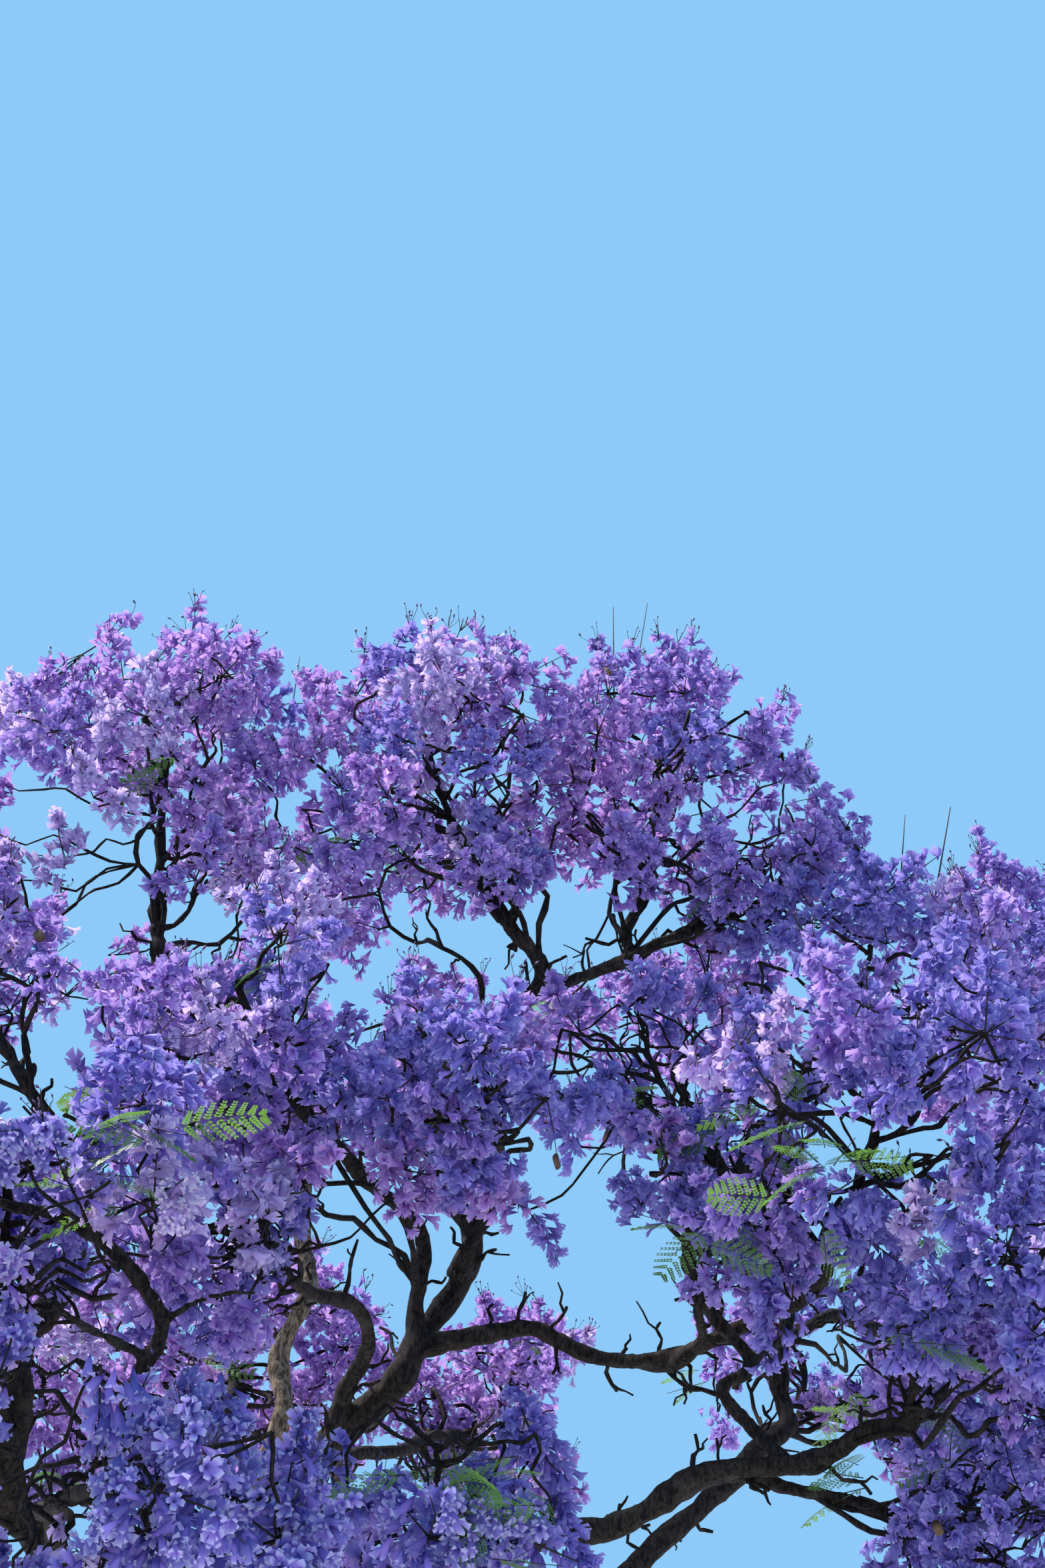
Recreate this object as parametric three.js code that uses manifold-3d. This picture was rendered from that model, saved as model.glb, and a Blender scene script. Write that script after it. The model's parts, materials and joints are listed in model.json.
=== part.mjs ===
// A jacaranda in full bloom: one trunk, its boughs, and the masses of blossom that they carry.
// Millimetres, +Z up. The origin is the middle of the flat cut under the trunk, at ground level.
import * as THREE from "three";
import { mergeVertices } from "three/addons/utils/BufferGeometryUtils.js";
import Module from "manifold-3d";

const wasm = await Module();
wasm.setup();

// Trunk
const FORK_HEIGHT = 2080;
const TRUNK_RADIUS = 150;
const FORK_RADIUS = 168;
const TRUNK_TOP_RADIUS = 110;
const SWELL_FROM = 0.6;
const SWELL_TO = 0.93;
const FLARE_RADIUS = 150;
const FLARE_HEIGHT = 230;
const FLARE_LOBES = 5;
const FLARE_LOBE_DEPTH = 0.3;
const FLARE_LOBE_DRIFT = 0.6;
const TRUNK_LEAN = new THREE.Vector2(-60, 45);
const TRUNK_SIDES = 18;
const TRUNK_ROWS = 10;
const TRUNK_ROWS_CROWD = 1.35;
const ROOT_OF_BOUGHS = 1820;
const ROOT_OFFSET = 55;

// Boughs
const GAP = 0.3;
const ENTRY = 0.86;
const BEND = 0.45;
const BOUGH_SIDES = 6;
const BOUGH_STEP = 330;
const SWAY = 0.022;
const SWAY_LENGTH = 700;
const TIP_RADIUS = 10;
const TIP_RADIUS_BY_SIZE = 0.018;
const TAPER_BY_LENGTH = 0.016;
const TAPER_POWER = 0.8;
const FORK_SHARE = 0.72;
const FORK_TURN = 0.45;

// Masses of blossom
const FLATTENING = new THREE.Vector3(1, 1, 0.74);
const STEM_ROWS = 3;
const STEM_REACH = 0.25;
const STEM_TAPER = 0.45;
const STEM_BEND = 0.4;
const STEM_TWIGS_FROM = 0.3;
const STEM_TWIGS_TO = 0.98;
const TWIGS_AT_LEAST = 3;
const TWIGS_BY_SIZE = 0.007;
const TWIG_RADIUS = 11;
const TWIG_MARGIN = 1.5;
const TWIG_PROBES = [0.3, 0.44, 0.58, 0.72, 0.86, 1];
const AIM_JITTER = 0.12;
const TURN_JITTER = 0.5;
const NEAREST_REACH = 0.9;
const SPRAY_RADIUS = 135;
const SPRAY_BY_SIZE = 0.18;
const SPRAY_SPREAD = 0.2;
const SPRAY_UNEVENNESS = 0.16;
const RING_SPRAYS = 4;
const RING_STEP = 0.65;
const RING_SLOPE = 0.4;
const INNER_SPRAY = 0.42;
const SPACING = 0.7;
const LOWEST_AIM = -0.75;
const GOLDEN_ANGLE = Math.PI * (3 - Math.sqrt(5));
const DRAWS = 24;
const CLEARANCE = 6;
const OWN_SPACE = 1.04;
const SHARE_IN_BORDERS = 0.35;
const SHARE_OUT_OF_OPENINGS = 0.55;

// Each row is a bough and the mass at its tip. "at" is the middle of the mass and "size" its half
// width. The bough leaves "from" at the fraction "leaves" of its length, and goes by "via". A bough of
// the trunk also has its radius at the trunk, "girth".
const LIMBS = [
  { name: "crown_left", at: [-950, -600, 6490], size: 950, from: "trunk", girth: 78,
    via: [[-450, -450, 2550], [-970, -1000, 3130], [-1130, -1220, 3450], [-1020, -1350, 3900],
      [-950, -1000, 4750], [-860, -800, 5400]] },
  { name: "crown_front", at: [180, -750, 6380], size: 880, from: "trunk", girth: 78,
    via: [[-150, -120, 2750], [-200, -300, 3570], [130, -300, 3990], [370, -220, 4500],
      [240, -500, 5050], [660, -780, 5420]] },
  { name: "right_low", at: [2250, -1900, 3720], size: 740, from: "trunk", girth: 60,
    via: [[260, -450, 2660], [530, -900, 3150], [1220, -1100, 3380], [1800, -1330, 3500]] },
  { name: "crown_back", at: [-450, 850, 6060], size: 980, from: "trunk", girth: 64,
    via: [[-200, 250, 2900], [-430, 400, 3840], [-340, 500, 4600]] },
  { name: "crown_right_back", at: [1300, 1050, 5760], size: 940, from: "trunk", girth: 58,
    via: [[430, 200, 2760], [1340, 420, 3680], [1690, 620, 4060], [1720, 780, 4750]] },
  { name: "right_upper", at: [1950, -1050, 5250], size: 760, from: "right_low", leaves: 0.68,
    via: [[1320, -940, 3720], [1400, -880, 3880], [1260, -880, 4150], [1430, -900, 4640]] },
  { name: "left_back", at: [-2000, 1200, 5000], size: 1020, from: "crown_back", leaves: 0.14,
    via: [[-700, 700, 3100], [-1300, 1000, 4000]] },
  { name: "right_front", at: [1800, -2050, 4350], size: 800, from: "crown_front", leaves: 0.46,
    via: [[500, -290, 4150], [760, -300, 4130], [1020, -360, 3990], [1230, -520, 4010],
      [1600, -960, 4060]] },
  { name: "crown_right", at: [1200, -500, 6430], size: 880, from: "crown_front", leaves: 0.82,
    via: [[1000, -600, 5600]] },
  { name: "crown_right_low", at: [1760, -700, 5900], size: 580, from: "crown_right", leaves: 0.3 },
  { name: "left_shoulder", at: [-1620, -1150, 5420], size: 700, from: "crown_left", leaves: 0.62 },
  { name: "left_front", at: [-400, -1700, 4780], size: 780, from: "crown_front", leaves: 0.44 },
  { name: "front_high", at: [480, -1800, 4480], size: 600, from: "crown_front", leaves: 0.54 },
  { name: "inner_right", at: [1050, -950, 4980], size: 580, from: "right_upper", leaves: 0.74 },
  { name: "front_middle", at: [1150, -1500, 4300], size: 520, from: "right_front", leaves: 0.5 },
  { name: "right_shoulder", at: [2700, -250, 5610], size: 800, from: "right_upper", leaves: 0.7 },
  { name: "left_near", at: [-950, -2400, 3900], size: 820, from: "crown_left", leaves: 0.36 },
  { name: "front_low", at: [-320, -1900, 3950], size: 480, from: "crown_front", leaves: 0.3 },
  { name: "skirt_front_left", at: [-450, -2750, 3050], size: 720, from: "crown_left", leaves: 0.24 },
  { name: "skirt_front", at: [350, -2150, 3100], size: 600, from: "right_low", leaves: 0.28 },
  { name: "skirt_right", at: [2300, -900, 3250], size: 680, from: "right_low", leaves: 0.56 },
  { name: "left_side", at: [-2300, -400, 4700], size: 1000, from: "crown_left", leaves: 0.42 },
  { name: "skirt_left", at: [-2050, -1650, 3650], size: 900, from: "crown_left", leaves: 0.3 },
  { name: "skirt_left_back", at: [-2300, 950, 3550], size: 940, from: "left_back", leaves: 0.4 },
  { name: "back", at: [-850, 2200, 4700], size: 1040, from: "crown_back", leaves: 0.45 },
  { name: "back_middle", at: [550, 2150, 4500], size: 780, from: "crown_back", leaves: 0.3 },
  { name: "back_right", at: [1950, 1800, 4400], size: 980, from: "crown_right_back", leaves: 0.5 },
  { name: "right_side", at: [2700, 450, 4300], size: 960, from: "right_upper", leaves: 0.36 },
  { name: "skirt_back", at: [0, 2400, 3400], size: 920, from: "crown_back", leaves: 0.22 },
];

// Openings through the crown, each a cone from one place on the ground in front of the tree:
// degrees turned to the right of +Y, degrees lifted, and half its angle.
const LOOKOUT = new THREE.Vector3(600, -8600, 1600);
const OPENINGS = [
  [-14.5, 29.9, 0.8], [-11.9, 28.8, 1.0], [-9.4, 27.0, 1.0], [-13.4, 22.7, 0.9],
  [-4.9, 25.6, 0.8], [-3.4, 27.3, 0.7], [-1.6, 26.9, 0.8], [1.5, 27.3, 1.5], [4.3, 27.5, 0.8],
  [1.6, 20.9, 1.1], [-4.7, 20.5, 0.9], [3.2, 18.7, 1.4], [3.2, 16.9, 1.4], [2.7, 14.9, 1.8],
  [3.0, 12.7, 1.5], [6.4, 15.0, 0.8], [6.2, 12.6, 1.3], [7.8, 13.0, 1.5], [8.2, 16.5, 0.8],
];

const BARK = new THREE.MeshStandardMaterial({ color: 0x4a3d35, roughness: 0.92 });
const BLOSSOM = new THREE.MeshStandardMaterial({ color: 0x9a86d8, roughness: 0.75 });

const CONE_AXIS = new THREE.Vector3(0, 1, 0);
const lerp = THREE.MathUtils.lerp;
const smoothstep = THREE.MathUtils.smoothstep;

// Numbers from 0 to 1 that are the same each time for one seed.
function seeded(seed) {
  let state = seed >>> 0;
  return () => {
    state = (state + 0x6d2b79f5) >>> 0;
    let mixed = Math.imul(state ^ (state >>> 15), 1 | state);
    mixed = (mixed + Math.imul(mixed ^ (mixed >>> 7), 61 | mixed)) ^ mixed;
    return ((mixed ^ (mixed >>> 14)) >>> 0) / 4294967296;
  };
}

function solidOf(geometry) {
  geometry.deleteAttribute("normal");
  geometry.deleteAttribute("uv");
  const merged = mergeVertices(geometry, 1e-4);
  return new wasm.Manifold(
    new wasm.Mesh({
      numProp: 3,
      vertProperties: merged.attributes.position.array,
      triVerts: new Uint32Array(merged.index.array),
    }),
  );
}

function meshOf(name, solid, material) {
  const { vertProperties, triVerts } = solid.getMesh();
  const geometry = new THREE.BufferGeometry();
  geometry.setAttribute("position", new THREE.BufferAttribute(vertProperties, 3));
  geometry.setIndex(new THREE.BufferAttribute(triVerts, 1));
  geometry.computeVertexNormals();
  const mesh = new THREE.Mesh(geometry, material);
  mesh.name = name;
  return mesh;
}

// The biggest body of a solid, where a cut has left crumbs beside it.
function biggest(solid) {
  return solid.decompose().reduce((best, body) => (body.volume() > best.volume() ? body : best));
}

// A smooth line through the points, at the fraction t of their number.
function along(points, t) {
  const spot = Math.min(t, 0.999999) * (points.length - 1);
  const i = Math.floor(spot);
  const u = spot - i;
  const before = points[Math.max(i - 1, 0)];
  const after = points[Math.min(i + 2, points.length - 1)];
  const [a, b] = [points[i], points[i + 1]];
  const [uu, uuu] = [u * u, u * u * u];
  return new THREE.Vector3()
    .addScaledVector(before, 0.5 * (2 * uu - uuu - u))
    .addScaledVector(a, 0.5 * (2 - 5 * uu + 3 * uuu))
    .addScaledVector(b, 0.5 * (u + 4 * uu - 3 * uuu))
    .addScaledVector(after, 0.5 * (uuu - uu));
}

// Gives each station of a line its direction and two directions across it, turning no more than
// the line does.
function framed(stations) {
  let side = new THREE.Vector3(1, 0, 0);
  stations.forEach((station, row) => {
    const ahead = stations[Math.min(row + 1, stations.length - 1)].place;
    const behind = stations[Math.max(row - 1, 0)].place;
    const direction = ahead.clone().sub(behind).normalize();
    if (row === 0 && Math.abs(direction.x) > 0.8) side = new THREE.Vector3(0, 1, 0);
    side = side.clone().projectOnPlane(direction).normalize();
    Object.assign(station, { direction, side, up: new THREE.Vector3().crossVectors(direction, side) });
  });
  return stations;
}

// A cylinder laid along a line of framed stations.
function limbSolid(stations, sides, extra = 0) {
  const rows = stations.length - 1;
  const geometry = new THREE.CylinderGeometry(1, 1, rows, sides, rows);
  const position = geometry.attributes.position;
  for (let v = 0; v < position.count; v++) {
    const { place, radius, side, up } = stations[Math.round(position.getY(v) + rows / 2)];
    const spot = place
      .clone()
      .addScaledVector(side, position.getZ(v) * (radius + extra))
      .addScaledVector(up, position.getX(v) * (radius + extra));
    position.setXYZ(v, spot.x, spot.y, spot.z);
  }
  return solidOf(geometry);
}

function trunkMiddle(height) {
  const share = height / FORK_HEIGHT;
  return new THREE.Vector3(TRUNK_LEAN.x * share * share, TRUNK_LEAN.y * share * share, height);
}

function trunkRadius(height, turn) {
  const flare = FLARE_RADIUS * Math.exp(-height / FLARE_HEIGHT);
  const lobes = 1 + FLARE_LOBE_DEPTH * Math.cos(FLARE_LOBES * turn + FLARE_LOBE_DRIFT * Math.sin(2 * turn));
  const swell = smoothstep(height, SWELL_FROM * FORK_HEIGHT, SWELL_TO * FORK_HEIGHT);
  const top = smoothstep(height, SWELL_TO * FORK_HEIGHT, FORK_HEIGHT);
  return lerp(lerp(TRUNK_RADIUS, FORK_RADIUS, swell), TRUNK_TOP_RADIUS, top) + flare * lobes;
}

// The trunk, with level sections from the flat cut at the ground to the fork.
function trunkSolid(extra = 0) {
  const geometry = new THREE.CylinderGeometry(1, 1, TRUNK_ROWS, TRUNK_SIDES, TRUNK_ROWS);
  const position = geometry.attributes.position;
  for (let v = 0; v < position.count; v++) {
    const share = (position.getY(v) + TRUNK_ROWS / 2) / TRUNK_ROWS;
    const height = FORK_HEIGHT * Math.pow(share, TRUNK_ROWS_CROWD) + (share === 1 ? extra : 0);
    const [x, y] = [position.getZ(v), position.getX(v)];
    const turn = Math.atan2(y, x);
    const radius = Math.hypot(x, y) * (trunkRadius(height, turn) + extra);
    const middle = trunkMiddle(height);
    position.setXYZ(v, middle.x + radius * Math.cos(turn), middle.y + radius * Math.sin(turn), height);
  }
  return solidOf(geometry);
}

// Where a bough starts: its parent's middle line, direction and radius there.
function rootOf(limb, grown) {
  if (limb.from === "trunk") {
    const outward = new THREE.Vector3(limb.via[0][0], limb.via[0][1], 0).setLength(ROOT_OFFSET);
    return { place: trunkMiddle(ROOT_OF_BOUGHS).add(outward), parent: null };
  }
  const parent = grown.get(limb.from);
  const index = limb.leaves * (parent.stations.length - 1);
  const lower = Math.floor(index);
  const [a, b] = [parent.stations[lower], parent.stations[lower + 1]];
  return {
    place: a.place.clone().lerp(b.place, index - lower),
    radius: lerp(a.radius, b.radius, index - lower),
    direction: b.place.clone().sub(a.place).normalize(),
    parent,
  };
}

// The middle line of a bough, from its root to the edge of the mass that it carries.
function boughLine(limb, root, middle) {
  const points = [root.place];
  if (limb.via) {
    points.push(...limb.via.map((spot) => new THREE.Vector3(...spot)));
  } else {
    const way = middle.clone().sub(root.place);
    const bend = root.direction.clone().lerp(way.clone().normalize(), FORK_TURN).normalize();
    points.push(root.place.clone().addScaledVector(bend, BEND * (way.length() - ENTRY * limb.size)));
  }
  const inward = middle.clone().sub(points[points.length - 1]).normalize();
  points.push(middle.clone().addScaledVector(inward, -ENTRY * limb.size));
  return { points, inward };
}

// A bough with a slow sway, and the stem that carries on from its tip into the middle of its mass.
function growBough(limb, number, grown) {
  const root = rootOf(limb, grown);
  const middle = new THREE.Vector3(...limb.at);
  const { points, inward } = boughLine(limb, root, middle);
  const length = points.slice(1).reduce((sum, point, i) => sum + point.distanceTo(points[i]), 0);
  const rows = Math.max(4, Math.round(length / BOUGH_STEP));
  const tip = TIP_RADIUS + TIP_RADIUS_BY_SIZE * limb.size;
  const base = limb.girth ?? Math.min(FORK_SHARE * root.radius, tip + TAPER_BY_LENGTH * length);
  const turns = Math.max(1, Math.round(length / SWAY_LENGTH));
  const side = new THREE.Vector3(inward.y, -inward.x, 0).normalize();
  const up = new THREE.Vector3().crossVectors(side, inward);
  const line = [];
  for (let row = 0; row <= rows; row++) {
    const t = row / rows;
    const sway = (SWAY * length * Math.sin(Math.PI * t)) / Math.sqrt(turns);
    const place = along(points, t)
      .addScaledVector(side, sway * Math.sin(2 * Math.PI * turns * t + number))
      .addScaledVector(up, sway * Math.cos(2 * Math.PI * (turns + 0.5) * t + 2 * number));
    line.push({ place, radius: lerp(base, tip, Math.pow(t, TAPER_POWER)) });
  }
  const start = line[rows].place;
  const stemTop = middle.clone().setZ(middle.z + STEM_REACH * limb.size);
  const stem = [start, middle.clone().lerp(start, STEM_BEND), stemTop];
  for (let row = 1; row <= STEM_ROWS; row++) {
    const t = row / STEM_ROWS;
    line.push({ place: along(stem, t), radius: lerp(tip, STEM_TAPER * tip, t) });
  }
  framed(line);
  const joint = line[rows];
  const clear = joint.place.clone().addScaledVector(joint.direction, GAP);
  return {
    middle,
    size: limb.size,
    number,
    parent: root.parent,
    stations: line.slice(0, rows + 1),
    stem: [{ ...joint, place: clear }, ...line.slice(rows + 1)],
  };
}

// How far a place is from the surface of a run of stations.
function gapTo(place, stations) {
  let nearest = Infinity;
  const line = new THREE.Line3();
  const foot = new THREE.Vector3();
  for (let i = 0; i + 1 < stations.length; i++) {
    line.set(stations[i].place, stations[i + 1].place);
    line.closestPointToPoint(place, true, foot);
    const radius = Math.max(stations[i].radius, stations[i + 1].radius);
    nearest = Math.min(nearest, foot.distanceTo(place) - radius);
  }
  return nearest;
}

// The planes that part a mass from the others: each with its normal and how far it is from the middle.
function bordersOf(mass, masses) {
  return masses
    .filter((other) => other !== mass)
    .map((other) => {
      const way = other.middle.clone().sub(mass.middle);
      const distance = (way.length() * mass.size) / (mass.size + other.size) - CLEARANCE;
      return { normal: way.normalize(), distance };
    });
}

// Whether a ball stays in its mass's own space, clear of other limbs and out of the openings. A ball of
// blossom may stand over the border, where it is trimmed.
function fits(ball, radius, mass, borders, obstacles) {
  const offset = ball.clone().sub(mass.middle);
  if (offset.clone().divide(FLATTENING).length() + radius > OWN_SPACE * mass.size) return false;
  const kept = radius > TWIG_MARGIN * TWIG_RADIUS ? SHARE_IN_BORDERS * radius : radius;
  if (borders.some(({ normal, distance }) => offset.dot(normal) + kept > distance)) return false;
  if (obstacles.some((run) => run.owner !== mass && gapTo(ball, run.stations) < radius + CLEARANCE)) {
    return false;
  }
  const sight = ball.clone().sub(LOOKOUT);
  const spread = Math.atan((SHARE_OUT_OF_OPENINGS * radius) / sight.length());
  return OPENINGS.every(([turn, lift, half]) => {
    const [right, high] = [turn, lift].map(THREE.MathUtils.degToRad);
    const aim = new THREE.Vector3(Math.sin(right), Math.cos(right), 0).multiplyScalar(Math.cos(high));
    aim.z = Math.sin(high);
    return sight.angleTo(aim) > THREE.MathUtils.degToRad(half) + spread;
  });
}

// Whether a spray keeps its distance from the sprays that grew before it.
function apart(spray, grown) {
  return grown.every((twig) =>
    twig.sprays.every(
      (other) => other.place.distanceTo(spray.place) > SPACING * (other.radius + spray.radius),
    ),
  );
}

// An uneven eight-faced lump of blossom.
function spraySolid({ place, radius, reaches, turn }) {
  const geometry = new THREE.OctahedronGeometry(1, 0);
  const position = geometry.attributes.position;
  for (let v = 0; v < position.count; v++) {
    const corner = new THREE.Vector3().fromBufferAttribute(position, v);
    const which = 2 * [Math.abs(corner.x), Math.abs(corner.y), Math.abs(corner.z)].indexOf(1);
    const reach = reaches[which + (corner.x + corner.y + corner.z < 0 ? 1 : 0)];
    corner.multiplyScalar(radius * reach).applyAxisAngle(new THREE.Vector3(0, 0, 1), turn).add(place);
    position.setXYZ(v, corner.x, corner.y, corner.z);
  }
  return solidOf(geometry);
}

// One draw of the twigs and sprays of a mass, as places and sizes. All numbers of a twig are drawn
// before any of it is left out. It carries a spray at its tip, others in a ring round that one, and
// one nearer to the stem.
function growMass(mass, seed, borders, obstacles) {
  const random = seeded(seed);
  const twigs = TWIGS_AT_LEAST + Math.round(TWIGS_BY_SIZE * mass.size);
  const widest = SPRAY_RADIUS + SPRAY_BY_SIZE * mass.size;
  const stem = mass.stem.map((station) => station.place);
  const grown = [];
  for (let k = 0; k < twigs; k++) {
    const share = (k + 0.5) / twigs;
    const level = lerp(1, LOWEST_AIM, share) + AIM_JITTER * (random() - 0.5);
    const rise = THREE.MathUtils.clamp(level, -1, 1);
    const turn = GOLDEN_ANGLE * k + seed + TURN_JITTER * (random() - 0.5);
    const flat = Math.sqrt(1 - rise * rise);
    const roll = Math.PI * random();
    const depth = lerp(NEAREST_REACH, 1, random());
    const sprays = [...Array(RING_SPRAYS + 2).keys()].map((number) => ({
      ring: number > 0 && number <= RING_SPRAYS,
      roll: roll + (2 * Math.PI * number) / RING_SPRAYS,
      along: number > RING_SPRAYS ? INNER_SPRAY : 1,
      radius: widest * lerp(1 - SPRAY_SPREAD, 1, random()),
      reaches: [0, 1, 2, 3, 4, 5].map(() => lerp(1 - SPRAY_UNEVENNESS, 1, random())),
      turn: 2 * Math.PI * random(),
    }));
    const aim = new THREE.Vector3(flat * Math.cos(turn), flat * Math.sin(turn), rise);
    const reach = depth * (mass.size - sprays[0].radius);
    const tip = mass.middle.clone().add(aim.clone().multiplyScalar(reach).multiply(FLATTENING));
    const root = along(stem, lerp(STEM_TWIGS_TO, STEM_TWIGS_FROM, share));
    const sideways = new THREE.Vector3(-Math.sin(turn), Math.cos(turn), 0);
    const free = TWIG_PROBES.every((t) =>
      fits(root.clone().lerp(tip, t), TWIG_MARGIN * TWIG_RADIUS, mass, borders, obstacles),
    );
    const kept = [];
    for (const spray of free ? sprays : []) {
      const step = spray.ring ? RING_STEP * (sprays[0].radius + spray.radius) : 0;
      spray.place = root
        .clone()
        .lerp(tip, spray.along)
        .addScaledVector(sideways.clone().applyAxisAngle(aim, spray.roll), step)
        .addScaledVector(aim, -RING_SLOPE * step);
      const beside = !spray.ring || kept[0] === sprays[0];
      const room = beside && apart(spray, grown) && apart(spray, [{ sprays: kept }]);
      if (room && fits(spray.place, spray.radius, mass, borders, obstacles)) kept.push(spray);
    }
    const furthest = Math.max(0, ...kept.map((spray) => spray.along));
    if (kept.length) grown.push({ root, tip: root.clone().lerp(tip, furthest), sprays: kept });
  }
  return grown;
}

// A three-sided twig that runs out to a point inside its furthest spray.
function twigSolid(root, tip) {
  const way = tip.clone().sub(root);
  const geometry = new THREE.ConeGeometry(TWIG_RADIUS, way.length(), 3);
  geometry.translate(0, 0.5 * way.length(), 0);
  geometry.applyQuaternion(new THREE.Quaternion().setFromUnitVectors(CONE_AXIS, way.clone().normalize()));
  geometry.translate(root.x, root.y, root.z);
  return solidOf(geometry);
}

// The fullest of the draws of a mass, by the area of its sprays.
function fullestDraw(mass, borders, obstacles) {
  let best = [];
  let most = 0;
  for (let draw = 0; draw < DRAWS; draw++) {
    const grown = growMass(mass, mass.number + draw * LIMBS.length, borders, obstacles);
    const area = grown.flatMap((twig) => twig.sprays).reduce((sum, { radius }) => sum + radius * radius, 0);
    if (area > most) [best, most] = [grown, area];
  }
  return best;
}

function massSolid(mass, masses, obstacles) {
  const borders = bordersOf(mass, masses);
  const pieces = [limbSolid(mass.stem, BOUGH_SIDES)];
  for (const { root, tip, sprays } of fullestDraw(mass, borders, obstacles)) {
    pieces.push(twigSolid(root, tip));
    for (const spray of sprays) {
      pieces.push(spraySolid(spray));
      if (spray.ring) pieces.push(twigSolid(tip, spray.place));
    }
  }
  let solid = pieces.reduce((whole, piece) => whole.add(piece));
  for (const { normal, distance } of borders) {
    const edge = mass.middle.dot(normal) + distance;
    solid = solid.trimByPlane(normal.clone().negate().toArray(), -edge);
  }
  return biggest(solid);
}

const tree = new THREE.Group();
tree.name = "jacaranda";
tree.add(meshOf("trunk", trunkSolid(), BARK));

const grown = new Map();
LIMBS.forEach((limb, number) => grown.set(limb.name, growBough(limb, number, grown)));
const masses = [...grown.values()];
const obstacles = masses.flatMap((mass) => [
  { stations: mass.stations, owner: null },
  { stations: mass.stem, owner: mass },
]);

// Each bough is cut clear of the trunk, of its parent and of the boughs that leave the same parent.
const trunkCutter = trunkSolid(GAP);
const cutters = new Map();
for (const [name, bough] of grown) {
  let solid = limbSolid(bough.stations, BOUGH_SIDES).subtract(trunkCutter);
  for (const [other, cutter] of cutters) {
    const related = grown.get(other) === bough.parent || grown.get(other).parent === bough.parent;
    if (related) solid = solid.subtract(cutter);
  }
  cutters.set(name, limbSolid(bough.stations, BOUGH_SIDES, GAP));
  tree.add(meshOf("bough_" + name, biggest(solid), BARK));
}

for (const [name, mass] of grown) {
  tree.add(meshOf("blossom_" + name, massSolid(mass, masses, obstacles), BLOSSOM));
}

export default tree;
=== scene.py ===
import json
import math
import bpy
import numpy as np
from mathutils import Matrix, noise

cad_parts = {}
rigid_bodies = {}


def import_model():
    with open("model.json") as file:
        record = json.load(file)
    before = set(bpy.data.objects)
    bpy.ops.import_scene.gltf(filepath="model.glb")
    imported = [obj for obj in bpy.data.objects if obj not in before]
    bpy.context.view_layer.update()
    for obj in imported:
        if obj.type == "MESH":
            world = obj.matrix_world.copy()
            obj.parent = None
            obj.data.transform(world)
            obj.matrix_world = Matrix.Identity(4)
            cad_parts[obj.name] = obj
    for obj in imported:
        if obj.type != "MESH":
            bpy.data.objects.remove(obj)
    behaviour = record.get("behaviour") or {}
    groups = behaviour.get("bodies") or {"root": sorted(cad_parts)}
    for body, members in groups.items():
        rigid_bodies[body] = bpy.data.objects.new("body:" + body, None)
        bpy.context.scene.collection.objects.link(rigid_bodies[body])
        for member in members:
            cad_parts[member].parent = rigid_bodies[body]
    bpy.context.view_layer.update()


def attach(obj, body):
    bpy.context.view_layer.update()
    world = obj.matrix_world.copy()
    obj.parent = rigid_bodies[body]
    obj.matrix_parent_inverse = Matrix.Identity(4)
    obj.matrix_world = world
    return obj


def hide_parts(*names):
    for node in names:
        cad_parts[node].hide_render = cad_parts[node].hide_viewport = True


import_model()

bpy.ops.object.select_all(action="DESELECT")

# The growing rule of the solids, with the same named sizes in millimetres
FORK_HEIGHT = 2080
TRUNK_RADIUS = 150
FORK_RADIUS = 168
TRUNK_TOP_RADIUS = 110
SWELL_FROM = 0.6
SWELL_TO = 0.93
FLARE_RADIUS = 150
FLARE_HEIGHT = 230
FLARE_LOBES = 5
FLARE_LOBE_DEPTH = 0.3
FLARE_LOBE_DRIFT = 0.6
TRUNK_LEAN = np.array([-60.0, 45.0])
ROOT_OF_BOUGHS = 1820
ROOT_OFFSET = 55
GAP = 0.3
ENTRY = 0.86
BEND = 0.45
BOUGH_STEP = 330
SWAY = 0.022
SWAY_LENGTH = 700
TIP_RADIUS = 10
TIP_RADIUS_BY_SIZE = 0.018
TAPER_BY_LENGTH = 0.016
TAPER_POWER = 0.8
FORK_SHARE = 0.72
FORK_TURN = 0.45
FLATTENING = np.array([1.0, 1.0, 0.74])
STEM_ROWS = 3
STEM_REACH = 0.25
STEM_TAPER = 0.45
STEM_BEND = 0.4
STEM_TWIGS_FROM = 0.3
STEM_TWIGS_TO = 0.98
TWIGS_AT_LEAST = 3
TWIGS_BY_SIZE = 0.007
TWIG_RADIUS = 11
TWIG_MARGIN = 1.5
TWIG_PROBES = np.array([0.3, 0.44, 0.58, 0.72, 0.86, 1])
AIM_JITTER = 0.12
TURN_JITTER = 0.5
NEAREST_REACH = 0.9
SPRAY_RADIUS = 135
SPRAY_BY_SIZE = 0.18
SPRAY_SPREAD = 0.2
RING_SPRAYS = 4
RING_STEP = 0.65
RING_SLOPE = 0.4
INNER_SPRAY = 0.42
SPACING = 0.7
LOWEST_AIM = -0.75
GOLDEN_ANGLE = math.pi * (3 - math.sqrt(5))
DRAWS = 24
CLEARANCE = 6
OWN_SPACE = 1.04
SHARE_IN_BORDERS = 0.35
SHARE_OUT_OF_OPENINGS = 0.55
FILL_SIZE = 0.6
FILL_SPACING = 0.72
BOUGH_ROWS_AT_LEAST = 4
DRAWS_FOR_UNEVENNESS = 7
JUST_UNDER_ONE = 0.999999

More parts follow.
